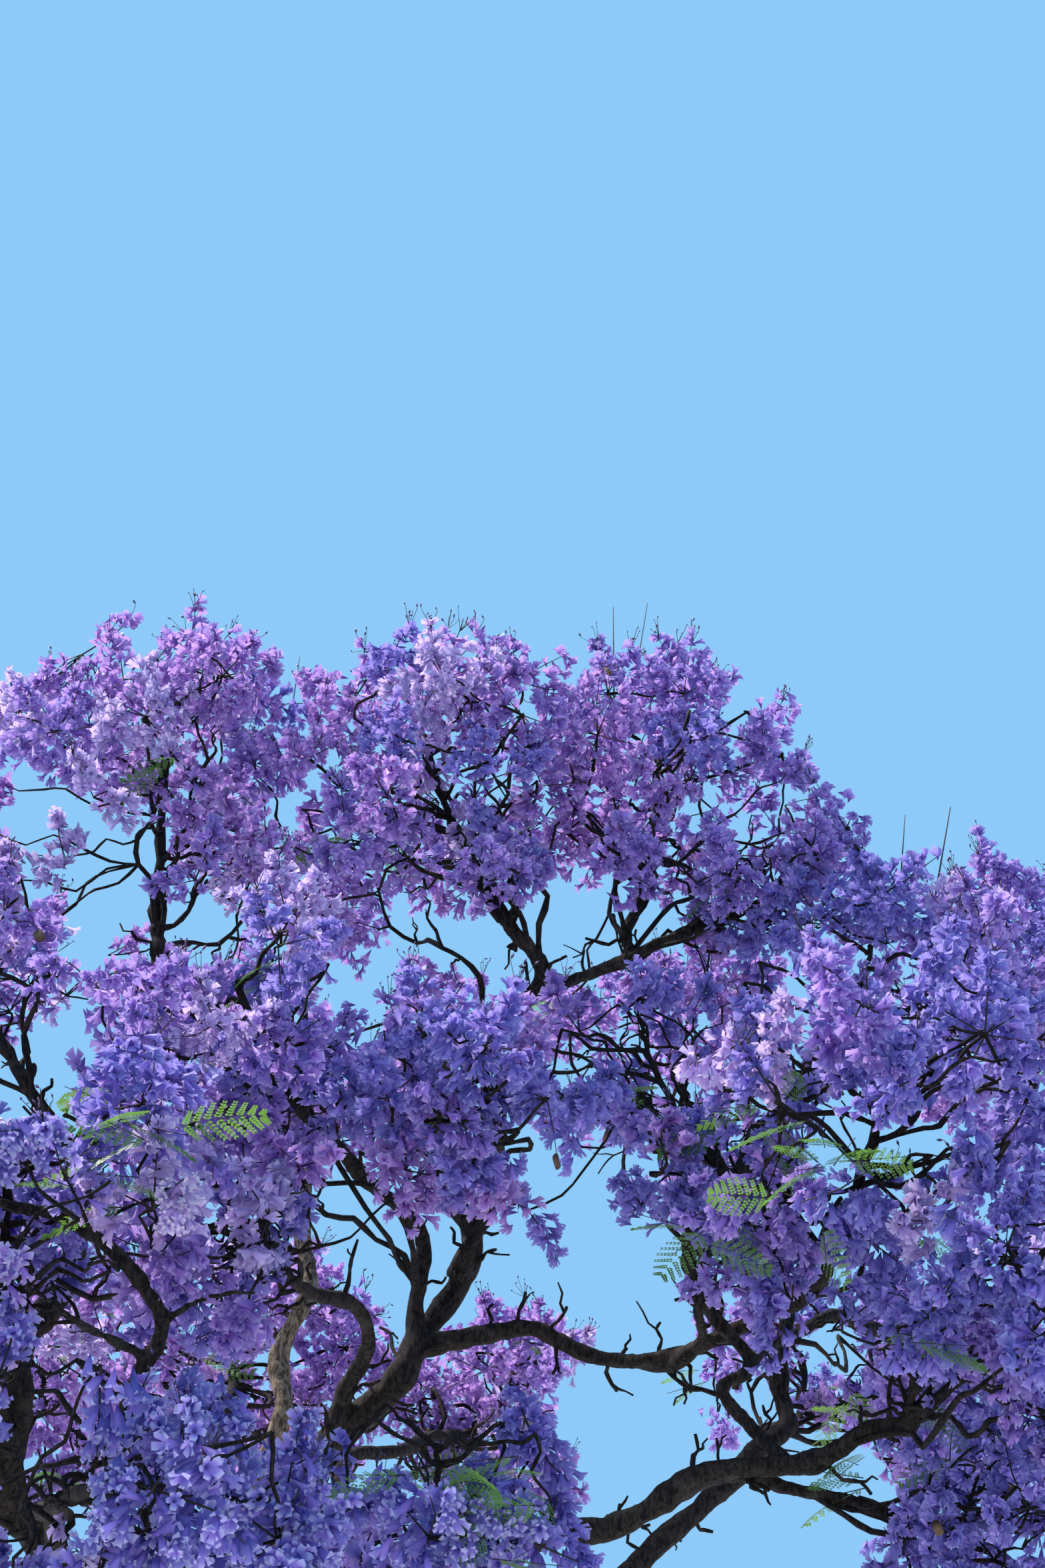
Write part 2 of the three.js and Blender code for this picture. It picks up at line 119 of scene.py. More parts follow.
# Each row is a bough and the mass of blossom at its tip
LIMBS = [
    dict(name="crown_left", at=(-950, -600, 6490), size=950, parent="trunk", girth=78,
         via=[(-450, -450, 2550), (-970, -1000, 3130), (-1130, -1220, 3450), (-1020, -1350, 3900),
              (-950, -1000, 4750), (-860, -800, 5400)]),
    dict(name="crown_front", at=(180, -750, 6380), size=880, parent="trunk", girth=78,
         via=[(-150, -120, 2750), (-200, -300, 3570), (130, -300, 3990), (370, -220, 4500),
              (240, -500, 5050), (660, -780, 5420)]),
    dict(name="right_low", at=(2250, -1900, 3720), size=740, parent="trunk", girth=60,
         via=[(260, -450, 2660), (530, -900, 3150), (1220, -1100, 3380), (1800, -1330, 3500)]),
    dict(name="crown_back", at=(-450, 850, 6060), size=980, parent="trunk", girth=64,
         via=[(-200, 250, 2900), (-430, 400, 3840), (-340, 500, 4600)]),
    dict(name="crown_right_back", at=(1300, 1050, 5760), size=940, parent="trunk", girth=58,
         via=[(430, 200, 2760), (1340, 420, 3680), (1690, 620, 4060), (1720, 780, 4750)]),
    dict(name="right_upper", at=(1950, -1050, 5250), size=760, parent="right_low", leaves=0.68,
         via=[(1320, -940, 3720), (1400, -880, 3880), (1260, -880, 4150), (1430, -900, 4640)]),
    dict(name="left_back", at=(-2000, 1200, 5000), size=1020, parent="crown_back", leaves=0.14,
         via=[(-700, 700, 3100), (-1300, 1000, 4000)]),
    dict(name="right_front", at=(1800, -2050, 4350), size=800, parent="crown_front", leaves=0.46,
         via=[(500, -290, 4150), (760, -300, 4130), (1020, -360, 3990), (1230, -520, 4010),
              (1600, -960, 4060)]),
    dict(name="crown_right", at=(1200, -500, 6430), size=880, parent="crown_front", leaves=0.82,
         via=[(1000, -600, 5600)]),
    dict(name="crown_right_low", at=(1760, -700, 5900), size=580, parent="crown_right", leaves=0.3),
    dict(name="left_shoulder", at=(-1620, -1150, 5420), size=700, parent="crown_left", leaves=0.62),
    dict(name="left_front", at=(-400, -1700, 4780), size=780, parent="crown_front", leaves=0.44),
    dict(name="front_high", at=(480, -1800, 4480), size=600, parent="crown_front", leaves=0.54),
    dict(name="inner_right", at=(1050, -950, 4980), size=580, parent="right_upper", leaves=0.74),
    dict(name="front_middle", at=(1150, -1500, 4300), size=520, parent="right_front", leaves=0.5),
    dict(name="right_shoulder", at=(2700, -250, 5610), size=800, parent="right_upper", leaves=0.7),
    dict(name="left_near", at=(-950, -2400, 3900), size=820, parent="crown_left", leaves=0.36),
    dict(name="front_low", at=(-320, -1900, 3950), size=480, parent="crown_front", leaves=0.3),
    dict(name="skirt_front_left", at=(-450, -2750, 3050), size=720, parent="crown_left", leaves=0.24),
    dict(name="skirt_front", at=(350, -2150, 3100), size=600, parent="right_low", leaves=0.28),
    dict(name="skirt_right", at=(2300, -900, 3250), size=680, parent="right_low", leaves=0.56),
    dict(name="left_side", at=(-2300, -400, 4700), size=1000, parent="crown_left", leaves=0.42),
    dict(name="skirt_left", at=(-2050, -1650, 3650), size=900, parent="crown_left", leaves=0.3),
    dict(name="skirt_left_back", at=(-2300, 950, 3550), size=940, parent="left_back", leaves=0.4),
    dict(name="back", at=(-850, 2200, 4700), size=1040, parent="crown_back", leaves=0.45),
    dict(name="back_middle", at=(550, 2150, 4500), size=780, parent="crown_back", leaves=0.3),
    dict(name="back_right", at=(1950, 1800, 4400), size=980, parent="crown_right_back", leaves=0.5),
    dict(name="right_side", at=(2700, 450, 4300), size=960, parent="right_upper", leaves=0.36),
    dict(name="skirt_back", at=(0, 2400, 3400), size=920, parent="crown_back", leaves=0.22),
]

# Openings through the crown, each a cone from one place in front of the tree: degrees turned to
# the right of +Y, degrees lifted, and half its angle
LOOKOUT = np.array([600.0, -8600.0, 1600.0])
OPENINGS = [
    (-14.5, 29.9, 0.8), (-11.9, 28.8, 1.0), (-9.4, 27.0, 1.0), (-13.4, 22.7, 0.9),
    (-4.9, 25.6, 0.8), (-3.4, 27.3, 0.7), (-1.6, 26.9, 0.8), (1.5, 27.3, 1.5), (4.3, 27.5, 0.8),
    (1.6, 20.9, 1.1), (-4.7, 20.5, 0.9), (3.2, 18.7, 1.4), (3.2, 16.9, 1.4), (2.7, 14.9, 1.8),
    (3.0, 12.7, 1.5), (6.4, 15.0, 0.8), (6.2, 12.6, 1.3), (7.8, 13.0, 1.5), (8.2, 16.5, 0.8),
]
WINDOWS = [(*cone, math.inf) for cone in OPENINGS]
WORD = 0xFFFFFFFF
SEED_STEP = 0x6D2B79F5
METRES = 0.001
UP = np.array([0.0, 0.0, 1.0])


def lerp(a, b, t):
    return a + (b - a) * t


def unit(v):
    return v / np.maximum(np.linalg.norm(v, axis=-1, keepdims=True), 1e-9)


def smoothstep(x, low, high):
    t = np.clip((x - low) / (high - low), 0, 1)
    return t * t * (3 - 2 * t)


def whole(x):
    return math.floor(x + 0.5)


def seeded(seed):
    """Numbers from 0 to 1 that are the same each time for one seed."""
    state = seed & WORD

    def draw():
        nonlocal state
        state = (state + SEED_STEP) & WORD
        mixed = ((state ^ (state >> 15)) * (1 | state)) & WORD
        mixed = ((mixed + (mixed ^ (mixed >> 7)) * (61 | mixed)) & WORD) ^ mixed
        return ((mixed ^ (mixed >> 14)) & WORD) / (WORD + 1)

    return draw


def along(points, t):
    """A smooth line through the points, at the fraction t of their number."""
    spot = min(t, JUST_UNDER_ONE) * (len(points) - 1)
    i = int(spot)
    u = spot - i
    before = points[max(i - 1, 0)]
    after = points[min(i + 2, len(points) - 1)]
    return 0.5 * (
        (2 * u**2 - u**3 - u) * before
        + (2 - 5 * u**2 + 3 * u**3) * points[i]
        + (u + 4 * u**2 - 3 * u**3) * points[i + 1]
        + (u**3 - u**2) * after
    )


def trunk_middle(height):
    share = height / FORK_HEIGHT
    return np.array([*(TRUNK_LEAN * share * abs(share)), height])


def trunk_radius(height, turn):
    flare = FLARE_RADIUS * np.exp(-height / FLARE_HEIGHT)
    lobes = 1 + FLARE_LOBE_DEPTH * np.cos(FLARE_LOBES * turn + FLARE_LOBE_DRIFT * np.sin(2 * turn))
    swell = smoothstep(height, SWELL_FROM * FORK_HEIGHT, SWELL_TO * FORK_HEIGHT)
    top = smoothstep(height, SWELL_TO * FORK_HEIGHT, FORK_HEIGHT)
    return lerp(lerp(TRUNK_RADIUS, FORK_RADIUS, swell), TRUNK_TOP_RADIUS, top) + flare * lobes


def root_of(limb, grown):
    """Where a bough starts: its parent's middle line, radius and direction there."""
    if limb["parent"] == "trunk":
        outward = np.array([*limb["via"][0][:2], 0.0])
        return trunk_middle(ROOT_OF_BOUGHS) + ROOT_OFFSET * unit(outward), None, None
    places, radii = grown[limb["parent"]]["stations"]
    index = limb["leaves"] * (len(places) - 1)
    lower = int(index)
    a, b = places[lower], places[lower + 1]
    radius = lerp(radii[lower], radii[lower + 1], index - lower)
    return lerp(a, b, index - lower), radius, unit(b - a)


def bough_line(limb, root, heading, middle):
    """The points that a bough goes by, from its root to the edge of its mass."""
    points = [root]
    if "via" in limb:
        points += [np.array(spot, float) for spot in limb["via"]]
    else:
        way = middle - root
        bend = unit(lerp(heading, unit(way), FORK_TURN))
        points.append(root + bend * BEND * (np.linalg.norm(way) - ENTRY * limb["size"]))
    inward = unit(middle - points[-1])
    points.append(middle - inward * ENTRY * limb["size"])
    return points, inward


def grow_bough(limb, number, grown):
    """A bough with a slow sway, and the stem that carries on into the middle of its mass."""
    root, root_radius, heading = root_of(limb, grown)
    middle = np.array(limb["at"], float)
    points, inward = bough_line(limb, root, heading, middle)
    length = sum(np.linalg.norm(b - a) for a, b in zip(points, points[1:]))
    rows = max(BOUGH_ROWS_AT_LEAST, whole(length / BOUGH_STEP))
    tip = TIP_RADIUS + TIP_RADIUS_BY_SIZE * limb["size"]
    base = limb.get("girth") or min(FORK_SHARE * root_radius, tip + TAPER_BY_LENGTH * length)
    turns = max(1, whole(length / SWAY_LENGTH))
    side = unit(np.array([inward[1], -inward[0], 0.0]))
    up = np.cross(side, inward)

    def spot(t):
        sway = SWAY * length * math.sin(math.pi * t) / math.sqrt(turns)
        place = along(points, t)
        place = place + side * sway * math.sin(2 * math.pi * turns * t + number)
        place = place + up * sway * math.cos(2 * math.pi * (turns + 0.5) * t + 2 * number)
        return place, lerp(base, tip, t**TAPER_POWER)

    def line(count):
        spots = [spot(row / count) for row in range(count + 1)]
        return np.array([s[0] for s in spots]), np.array([s[1] for s in spots])

    stations = line(rows)
    start = stations[0][-1]
    stem_top = middle + UP * STEM_REACH * limb["size"]
    stem = [start, lerp(middle, start, STEM_BEND), stem_top]
    places = [along(stem, row / STEM_ROWS) for row in range(STEM_ROWS + 1)]
    places[0] = start + GAP * unit(places[1] - stations[0][-2])
    radii = lerp(tip, STEM_TAPER * tip, np.arange(STEM_ROWS + 1) / STEM_ROWS)
    return dict(name=limb["name"], number=number, middle=middle, size=limb["size"], length=length,
                line=line, stations=stations, stem=(np.array(places), radii), parent=limb["parent"])


def segments_of(runs):
    """The straight parts of runs of places, with the larger radius of each part's ends."""
    starts = np.concatenate([places[:-1] for places, _ in runs])
    ends = np.concatenate([places[1:] for places, _ in runs])
    radii = np.concatenate([np.maximum(r[:-1], r[1:]) for _, r in runs])
    return starts, ends, radii


def gap_to(places, segments):
    """How far places are from the surface of the nearest limb."""
    starts, ends, radii = segments
    way = ends - starts
    share = ((places[:, None] - starts) * way).sum(2) / (way * way).sum(1)
    foot = starts + np.clip(share, 0, 1)[..., None] * way
    return (np.linalg.norm(places[:, None] - foot, axis=2) - radii).min(1)


def aim_of(turn, lift):
    """The direction that is turned to the right of +Y and lifted, both in radians."""
    return np.stack([np.sin(turn) * np.cos(lift), np.cos(turn) * np.cos(lift), np.sin(lift)], -1)


def within_cones(places, cones, margin):
    """Whether each place stands in a cone from the lookout, nearer than where the cone ends."""
    sight = places - LOOKOUT
    distance = np.linalg.norm(sight, axis=1)
    turn, lift, half, cone_end = np.array(cones).T
    turn, lift, half = np.radians([turn, lift, half])
    angles = np.arccos(np.clip(sight @ aim_of(turn, lift).T / distance[:, None], -1, 1))
    within = angles < half + np.arctan(margin / distance)[:, None]
    return (within & (distance[:, None] < cone_end)).any(1)


def find_borders(mass, masses):
    """The planes that part a mass from the others, and the limbs that it keeps clear of."""
    mass["borders"] = []
    for other in masses:
        if other is not mass:
            way = other["middle"] - mass["middle"]
            length = np.linalg.norm(way)
            distance = length * mass["size"] / (mass["size"] + other["size"]) - CLEARANCE
            mass["borders"].append((way / length, distance))
    runs = [m["stations"] for m in masses] + [m["stem"] for m in masses if m is not mass]
    mass["limbs"] = segments_of(runs)


def fits(places, radii, mass, share=1.0):
    """Whether balls stay in their mass's own space, clear of limbs and out of the openings."""
    offset = places - mass["middle"]
    free = np.linalg.norm(offset / FLATTENING, axis=1) + radii <= OWN_SPACE * mass["size"]
    for normal, distance in mass["borders"]:
        free &= offset @ normal + share * radii <= distance
    free &= gap_to(places, mass["limbs"]) >= radii + CLEARANCE
    return free & ~within_cones(places, WINDOWS, SHARE_OUT_OF_OPENINGS * radii)


def draw_twigs(mass, seed):
    """One draw of the twigs and sprays of a mass, before any of them is left out."""
    random = seeded(seed)
    twigs = TWIGS_AT_LEAST + whole(TWIGS_BY_SIZE * mass["size"])
    widest = SPRAY_RADIUS + SPRAY_BY_SIZE * mass["size"]
    drawn = []
    for k in range(twigs):
        share = (k + 0.5) / twigs
        level = lerp(1, LOWEST_AIM, share) + AIM_JITTER * (random() - 0.5)
        rise = min(max(level, -1), 1)
        turn = GOLDEN_ANGLE * k + seed + TURN_JITTER * (random() - 0.5)
        flat = math.sqrt(1 - rise * rise)
        roll = math.pi * random()
        depth = lerp(NEAREST_REACH, 1, random())
        radii = []
        for _ in range(RING_SPRAYS + 2):
            radii.append(widest * lerp(1 - SPRAY_SPREAD, 1, random()))
            # The sprays of the solids use these draws for their uneven corners
            for _ in range(DRAWS_FOR_UNEVENNESS):
                random()
        aim = np.array([flat * math.cos(turn), flat * math.sin(turn), rise])
        sideways = np.array([-math.sin(turn), math.cos(turn), 0.0])
        tip = mass["middle"] + aim * depth * (mass["size"] - radii[0]) * FLATTENING
        root = along(mass["stem"][0], lerp(STEM_TWIGS_TO, STEM_TWIGS_FROM, share))
        sprays = []
        for number, radius in enumerate(radii):
            ring = 0 < number <= RING_SPRAYS
            angle = roll + 2 * math.pi * number / RING_SPRAYS
            step = RING_STEP * (radii[0] + radius) if ring else 0.0
            turned = sideways * math.cos(angle) + np.cross(aim, sideways) * math.sin(angle)
            place = lerp(root, tip, INNER_SPRAY if number > RING_SPRAYS else 1.0)
            place = place + turned * step - aim * RING_SLOPE * step
            sprays.append(dict(place=place, radius=radius, ring=ring, number=number))
        drawn.append(dict(root=root, tip=tip, aim=aim, sprays=sprays))
    return drawn


def far_enough(spray, kept, spacing):
    """Whether a spray keeps its distance from the ones that are kept already."""
    return all(
        np.linalg.norm(other["place"] - spray["place"]) > spacing * (other["radius"] + spray["radius"])
        for other in kept
    )


def grow_mass(mass):
    """The fullest draw of a mass by the area of its sprays, then smaller sprays of the other draws."""
    draws = [draw_twigs(mass, mass["number"] + draw * len(LIMBS)) for draw in range(DRAWS)]
    twigs = [twig for draw in draws for twig in draw]
    probes = np.array([lerp(twig["root"], twig["tip"], t) for twig in twigs for t in TWIG_PROBES])
    clear = fits(probes, np.full(len(probes), TWIG_MARGIN * TWIG_RADIUS), mass)
    sprays = [spray for twig in twigs for spray in twig["sprays"]]
    places = np.array([spray["place"] for spray in sprays])
    radii = np.array([spray["radius"] for spray in sprays])
    for spray, full, small in zip(
        sprays,
        fits(places, radii, mass, SHARE_IN_BORDERS),
        fits(places, FILL_SIZE * radii, mass, SHARE_IN_BORDERS),
    ):
        spray["fits"], spray["fits_small"] = full, small
    for twig, free in zip(twigs, clear.reshape(-1, len(TWIG_PROBES)).all(1)):
        twig["free"] = free
    best, most = [], 0
    for draw in draws:
        grown, kept = [], []
        for twig in draw:
            own = []
            for spray in twig["sprays"] if twig["free"] else []:
                beside = not spray["ring"] or (own and own[0]["number"] == 0)
                if beside and spray["fits"] and far_enough(spray, kept + own, SPACING):
                    own.append(spray)
            if own:
                grown.append(dict(twig, sprays=own))
                kept += own
        area = sum(spray["radius"] ** 2 for spray in kept)
        if area > most:
            best, most = grown, area
    kept = [spray for twig in best for spray in twig["sprays"]]
    for twig in twigs:
        own = []
        for spray in twig["sprays"] if twig["free"] else []:
            small = dict(spray, radius=FILL_SIZE * spray["radius"], ring=False)
            if spray["fits_small"] and far_enough(small, kept, FILL_SPACING):
                own.append(small)
                kept.append(small)
        if own:
            best.append(dict(twig, sprays=own, filler=True))
    return best


# Finer growth: places are in millimetres and cones in degrees as above, other sizes in metres
SEED = 20
MOST_TRIANGLES = 190000
# Masses that the photo shows thin, and the share of their sprays that is left out
SPARSE = {"inner_right": 0.4, "right_upper": 0.2, "crown_back": 0.15, "left_shoulder": 0.1}
# How far sprays hang below a mass, where the photo shows its underside lower
HANG = {"crown_left": 420, "crown_front": 420, "crown_right": 420, "crown_back": 300}
# More sprays beside some masses, where the photo shows them reach further
BESIDE = {
    "front_low": [(120, -1900, 4130), (290, -1700, 4190), (60, -1750, 4260)],
    "inner_right": [(620, -1150, 4330), (720, -1000, 4450), (1020, -1200, 4330)],
    "right_shoulder": [(2760, -400, 6060), (2600, -350, 6120)],
    "crown_left": [(-1480, -900, 6230), (-1380, -850, 6300), (-1560, -800, 6080)],
    "crown_right": [(1310, -550, 7010), (1200, -600, 6950)],
    "crown_front": [(180, -700, 7010), (240, -620, 6900)],
    "left_back": [(-1360, 400, 4030), (-1200, 400, 3810), (-1360, 400, 3660), (-1190, 300, 4140),
                  (-1250, 100, 4270)],
    "right_front": [(1300, -1700, 3870), (1460, -1800, 3790), (1580, -1800, 3690), (1430, -1700, 3980)],
}
# Bare limbs that show from the front, each a cone as the openings are, with the distance
# in front of which nothing flowers
BARE = [
    (-4.7, 20.6, 0.7, 9300), (-5.3, 19.3, 0.7, 9300), (-6.0, 17.8, 0.7, 9300), (-6.5, 16.3, 0.7, 9300),
    (-6.4, 14.8, 0.6, 9300), (-4.9, 20.3, 0.8, 8600), (-5.6, 17.2, 1.2, 8400), (-4.1, 17.0, 1.4, 8400),
    (-2.7, 17.2, 1.4, 8400), (-1.2, 18.6, 1.1, 8400), (-3.8, 15.1, 1.2, 8400), (-5.1, 15.1, 1.0, 8400),
    (-2.2, 15.7, 0.9, 8400), (0.3, 17.0, 0.7, 8500), (1.5, 16.9, 0.8, 8500), (2.8, 16.3, 0.8, 8500),
    (4.0, 16.5, 0.7, 8500), (7.8, 15.0, 1.1, 7300), (9.8, 14.5, 1.1, 7300), (11.7, 13.9, 1.2, 7300),
    (13.0, 13.3, 1.2, 7300), (-12.6, 12.2, 0.6, 7800), (-12.5, 13.9, 0.6, 7800), (-12.4, 15.5, 0.6, 7800),
    (-12.2, 17.0, 0.6, 7800), (-13.9, 19.7, 0.5, 6650), (-12.5, 19.6, 0.5, 6650), (-11.1, 18.9, 0.5, 6600),
    (-10.1, 18.0, 0.5, 6600), (-9.4, 16.8, 0.6, 6600), (-10.0, 15.9, 0.5, 6600),
]
# Cones over the outline of the crown where nothing flowers
ABOVE = [
    (-14.4, 35.4, 1.1), (-15.6, 34.5, 0.8), (-13.2, 35.9, 0.9), (-5.7, 35.8, 0.7), (10.9, 29.9, 0.7),
    (9.4, 32.5, 0.6), (8.2, 34.0, 0.5), (-11.5, 28.2, 0.6),
]
# Fields of small gaps in the blossom: middle, half width and half height in degrees, and how many gaps
GAPS = [
    (5.5, 24.0, 6.0, 3.0, 34), (12.0, 22.5, 2.5, 3.0, 12), (-10.5, 26.0, 3.5, 2.5, 16),
    (0.0, 31.0, 12.0, 2.4, 22),
]
GAP_HALF = 0.3
# How far the middle of a panicle or spray keeps from the edge of a cone, in millimetres
PANICLE_HALF = 42.5
CLEAR_OF_BARE = 50
CLEAR_OF_GAPS = 30
# Limbs among the near left sprays, each by its points and its thickness at both ends
ARMS = [
    ([(-620, -700, 2760), (-640, -1600, 3050), (-560, -2200, 3330), (-460, -2300, 3530), (-500, -2400, 3630),
      (-610, -2450, 3740), (-760, -2500, 3820), (-920, -2550, 3840), (-1200, -2600, 3950)], 31, 15),
    ([(-500, -2270, 3470), (-600, -2350, 3500), (-700, -2400, 3540), (-860, -2450, 3650)], 19, 9),
    ([(-450, -2330, 3560), (-330, -2350, 3620), (-200, -2330, 3640), (-60, -2300, 3600)], 14, 6),
]
# Places where green leaves stand out of the blossom: turned, lifted and how many
LEAFY = [
    (6.8, 21.9, 5), (8.5, 21.4, 5), (5.0, 19.4, 4), (7.4, 20.4, 3), (-11.5, 20.6, 3), (-9.6, 20.9, 3),
    (-10.6, 31.4, 2), (8.8, 15.2, 3), (10.8, 14.3, 3), (-1.4, 14.2, 4), (-0.1, 13.2, 4), (-0.3, 12.1, 3),
    (4.8, 16.1, 2), (8.9, 13.5, 3), (-2.6, 14.0, 2), (10.0, 16.6, 2), (-11.0, 22.2, 2),
]
# Dead stalks that stand over the top: foot and tip
STALKS = [
    ((1060, -600, 6750), (1165, -600, 7400)), ((1000, -600, 6750), (1010, -600, 7380)),
    ((2340, -500, 5950), (2450, -500, 6390)), ((2190, -500, 5950), (2250, -500, 6350)),
    ((-420, -600, 6700), (-395, -580, 7120)),
]
# Waves of a wandering line: half turns over its length, of a slow and of a quick one
SIDE_WAVES = (2.2, 5)
LIFT_WAVES = (2.9, 6.1)
QUICK_WAVE = 0.4
MOSTLY = 0.8
# The limb that stands in the sun behind the others, whose paler bark is painted sunlight
SUNLIT_LIMB = "crown_back"
# Trunk, boughs and arms, in millimetres
TRUNK_SIDES = 48
TRUNK_STEP = 40
BELOW_GROUND = [-120, -60]
BOUGH_SIDES = 14
SKIN_STEP = 40
SKIN_ROWS_AT_LEAST = 12
UNEVENNESS = 0.05
UNEVEN_LENGTHS = (61, 23)
KNOT_SPACING = 260
KNOT_LENGTH = 34
KNOT_HEIGHTS = (0.12, 0.32)
COLLAR = 0.5
COLLAR_LENGTH = 2.2
BEND_LENGTH = 140
BEND_DEPTH = 0.22
ARM_SIDES = 12
ARM_ROWS = 5
ARM_UNEVENNESS = 0.14
# Voxels of the limbs' skin, and the relief of its bark, which is deeper on the trunk
VOXEL = 0.0138
SUNLIT_LIMB_VOXEL = 0.011
RELIEF = 0.0035
TRUNK_RELIEF = 0.006
TRUNK_RELIEF_ENDS = (1.7, 2.9)
COARSE_RELIEF = np.array([30, 30, 9], np.float32)
FINE_RELIEF = np.array([55, 55, 18], np.float32)
FINE_SHARE = 0.6
# Branches, most of them by their radius at the foot and at the tip
BRANCH_UNEVENNESS = 0.16
STEM_SIDES = 7
STEM_SPOTS = 12
STEM_KINK = 0.006
CARRIER = (0.011, 0.0055)
RISER = (0.0135, 0.0045)
RISERS = 5
SKIRT_RISERS = 3
RISER_ROWS = 11
RISER_TRIES = 8
RISER_RISE = 0.2
DROOP_PRICE = 3
RISER_BOW = 0.1
RISER_FORKS = (4, 6, 8)
RISER_FORK_TAPER = 13
RISER_JOINTS = slice(3, 9)
RISER_FORK_TIP = 0.003
FORK_TWIG = (0.005, 0.0025)
SPRAY_FORK = (0.0065, 0.004)
PANICLE_STALK = (0.0036, 0.0018)
BUD_STALK = (0.0016, 0.0012)
POD_STALK = (0.003, 0.002)
DEAD_STALK = (0.004, 0.0018)
LEAF_STALK = (0.002, 0.0012)
SPUR_SPACING = 0.17
SPUR_RADIUS = 0.01
FORKED_SPUR = 0.1
# Sprays that hang, and the fields of the tints, in millimetres; the tints are dealt partly as painted light
# and shade
HANGING_STEP = 26
HANGING_REACH = 0.86
HANGING_LEVEL = 0.56
HANGING_RADII = (150, 210)
FULL_SPRAY = 260
LEFT_FIELD = (900, -1600)
RIGHT_FIELD = (600, 2100)
BACK_FIELD = (-1500, 1500)
CROWN_FOOT = 2600
CROWN_HEIGHT = 4600
PALE_CHANCE = 0.04
SUNLIT_LEFT_PALE_CHANCE = 0.26
MAUVE_FROM = 0.62
VIOLET_FROM = 0.36
# Panicles round the middle of a spray
PANICLES = 7
PANICLES_AT_LEAST = 3
PANICLE_PLACE = 0.6
PANICLE_LENGTH = 0.23
PANICLE_WIDTH = 0.1
PANICLE_TAPER = 0.72
PANICLE_MIDDLE = 0.42
# Light that reaches a panicle: it is dark where too many others stand in the way
LIGHT_SIDES = 24
LIT_SIDES = 7
WAY_START = 0.09
WAY_WIDTH_SQUARED = 0.0145
PANICLES_TO_SHADE = 3
BLOCK = 400
# Flowers of a panicle in sight and out of it: how many, and how long far off and near
IN_SIGHT = (27, 0.062, 0.072)
OUT_OF_SIGHT = (13, 0.078, 0.078)
PETALS = 5
LIP = 0.24
NEAREST = 5.6
FARTHEST = 8.4
MID_FROM = 0.4
NEAR_FROM = 0.8
# Buds, leaves and pods
BUDS = 6
BUD_LENGTHS = (0.014, 0.028)
LEAF_LENGTHS = (0.17, 0.28)
LEAF_SHOOTS = 8
LEAFLETS = 6
SHOOT_WIDTH = 0.004
LEAFLET_LENGTH = 0.054
LEAFLET_WIDTH = 0.023
LEAFY_HALF = 1.3
LEAVES_IN_FRONT = 0.06
LEAVES_BELOW = 6.2
LEAFY_LIT_SIDES = 5
LEAFY_SHARE = 0.02
PODS = 14
POD_LENGTH = 0.055
POD_SIDES = 12
# Light and camera
SKY_BLUE = (0.27, 0.59, 0.95, 1)
FLOOR_TINT = (0.68, 0.66, 0.65, 1)
FLOOR_RADIUS = 40
SUN_STRENGTH = 7.5
SUN_WIDTH = 5
SUN_TURN = (-13, -32)
SUN_TINT = (1.0, 0.94, 0.86)
CAMERA_LIFT = 31.2
rng = np.random.default_rng(SEED)


def crosswise(headings, count):
    """Random directions across given ones."""
    return unit(np.cross(headings, unit(rng.normal(size=(count, 3)))))


def waves(t, turns, phase):
    """A slow wave with a quick one on it, for each row of two phases."""
    slow, quick = turns
    return np.sin(slow * t * math.pi + phase[:, :1]) + QUICK_WAVE * np.sin(quick * t * math.pi + phase[:, 1:])


def wandering(starts, ends, rows, wander, kink=0.0):
    """Lines of a number of rows that wander between two places each."""
    starts, ends = np.atleast_2d(starts), np.atleast_2d(ends)
    count = len(starts)
    t = np.linspace(0, 1, rows)
    way = ends - starts
    length = np.linalg.norm(way, axis=1)[:, None, None]
    side = crosswise(unit(way), count)
    up = np.cross(unit(way), side)
    phase = rng.random((count, 4)) * 2 * math.pi
    swing = waves(t, SIDE_WAVES, phase[:, :2])
    lift = waves(t, LIFT_WAVES, phase[:, 2:])
    lines = starts[:, None] + way[:, None] * t[None, :, None]
    lines = lines + length * wander * np.sin(math.pi * t)[None, :, None] * (
        side[:, None] * swing[..., None] + up[:, None] * lift[..., None]
    )
    jitter = rng.normal(size=(count, rows, 3)) * kink
    jitter[:, 0] = jitter[:, -1] = 0
    return lines + jitter


def rounded(lines):
    """The same lines with a place between each two, on a smooth curve."""
    before = np.concatenate([2 * lines[:, :1] - lines[:, 1:2], lines[:, :-2]], 1)
    after = np.concatenate([lines[:, 2:], 2 * lines[:, -1:] - lines[:, -2:-1]], 1)
    between = (9 * (lines[:, :-1] + lines[:, 1:]) - before - after) / 16
    finer = np.empty((len(lines), 2 * lines.shape[1] - 1, 3))
    finer[:, ::2], finer[:, 1::2] = lines, between
    return finer


def tube_faces(rows, sides):
    """Faces of a closed tube: rings of corners from its foot up, then the middles of both ends."""
    faces = []
    for row in range(rows - 1):
        for k in range(sides):
            a, b = row * sides + k, row * sides + (k + 1) % sides
            faces += [(a, b, b + sides), (a, b + sides, a + sides)]
    last = (rows - 1) * sides
    for k in range(sides):
        n = (k + 1) % sides
        faces += [(n, k, rows * sides), (last + k, last + n, rows * sides + 1)]
    return np.array(faces)


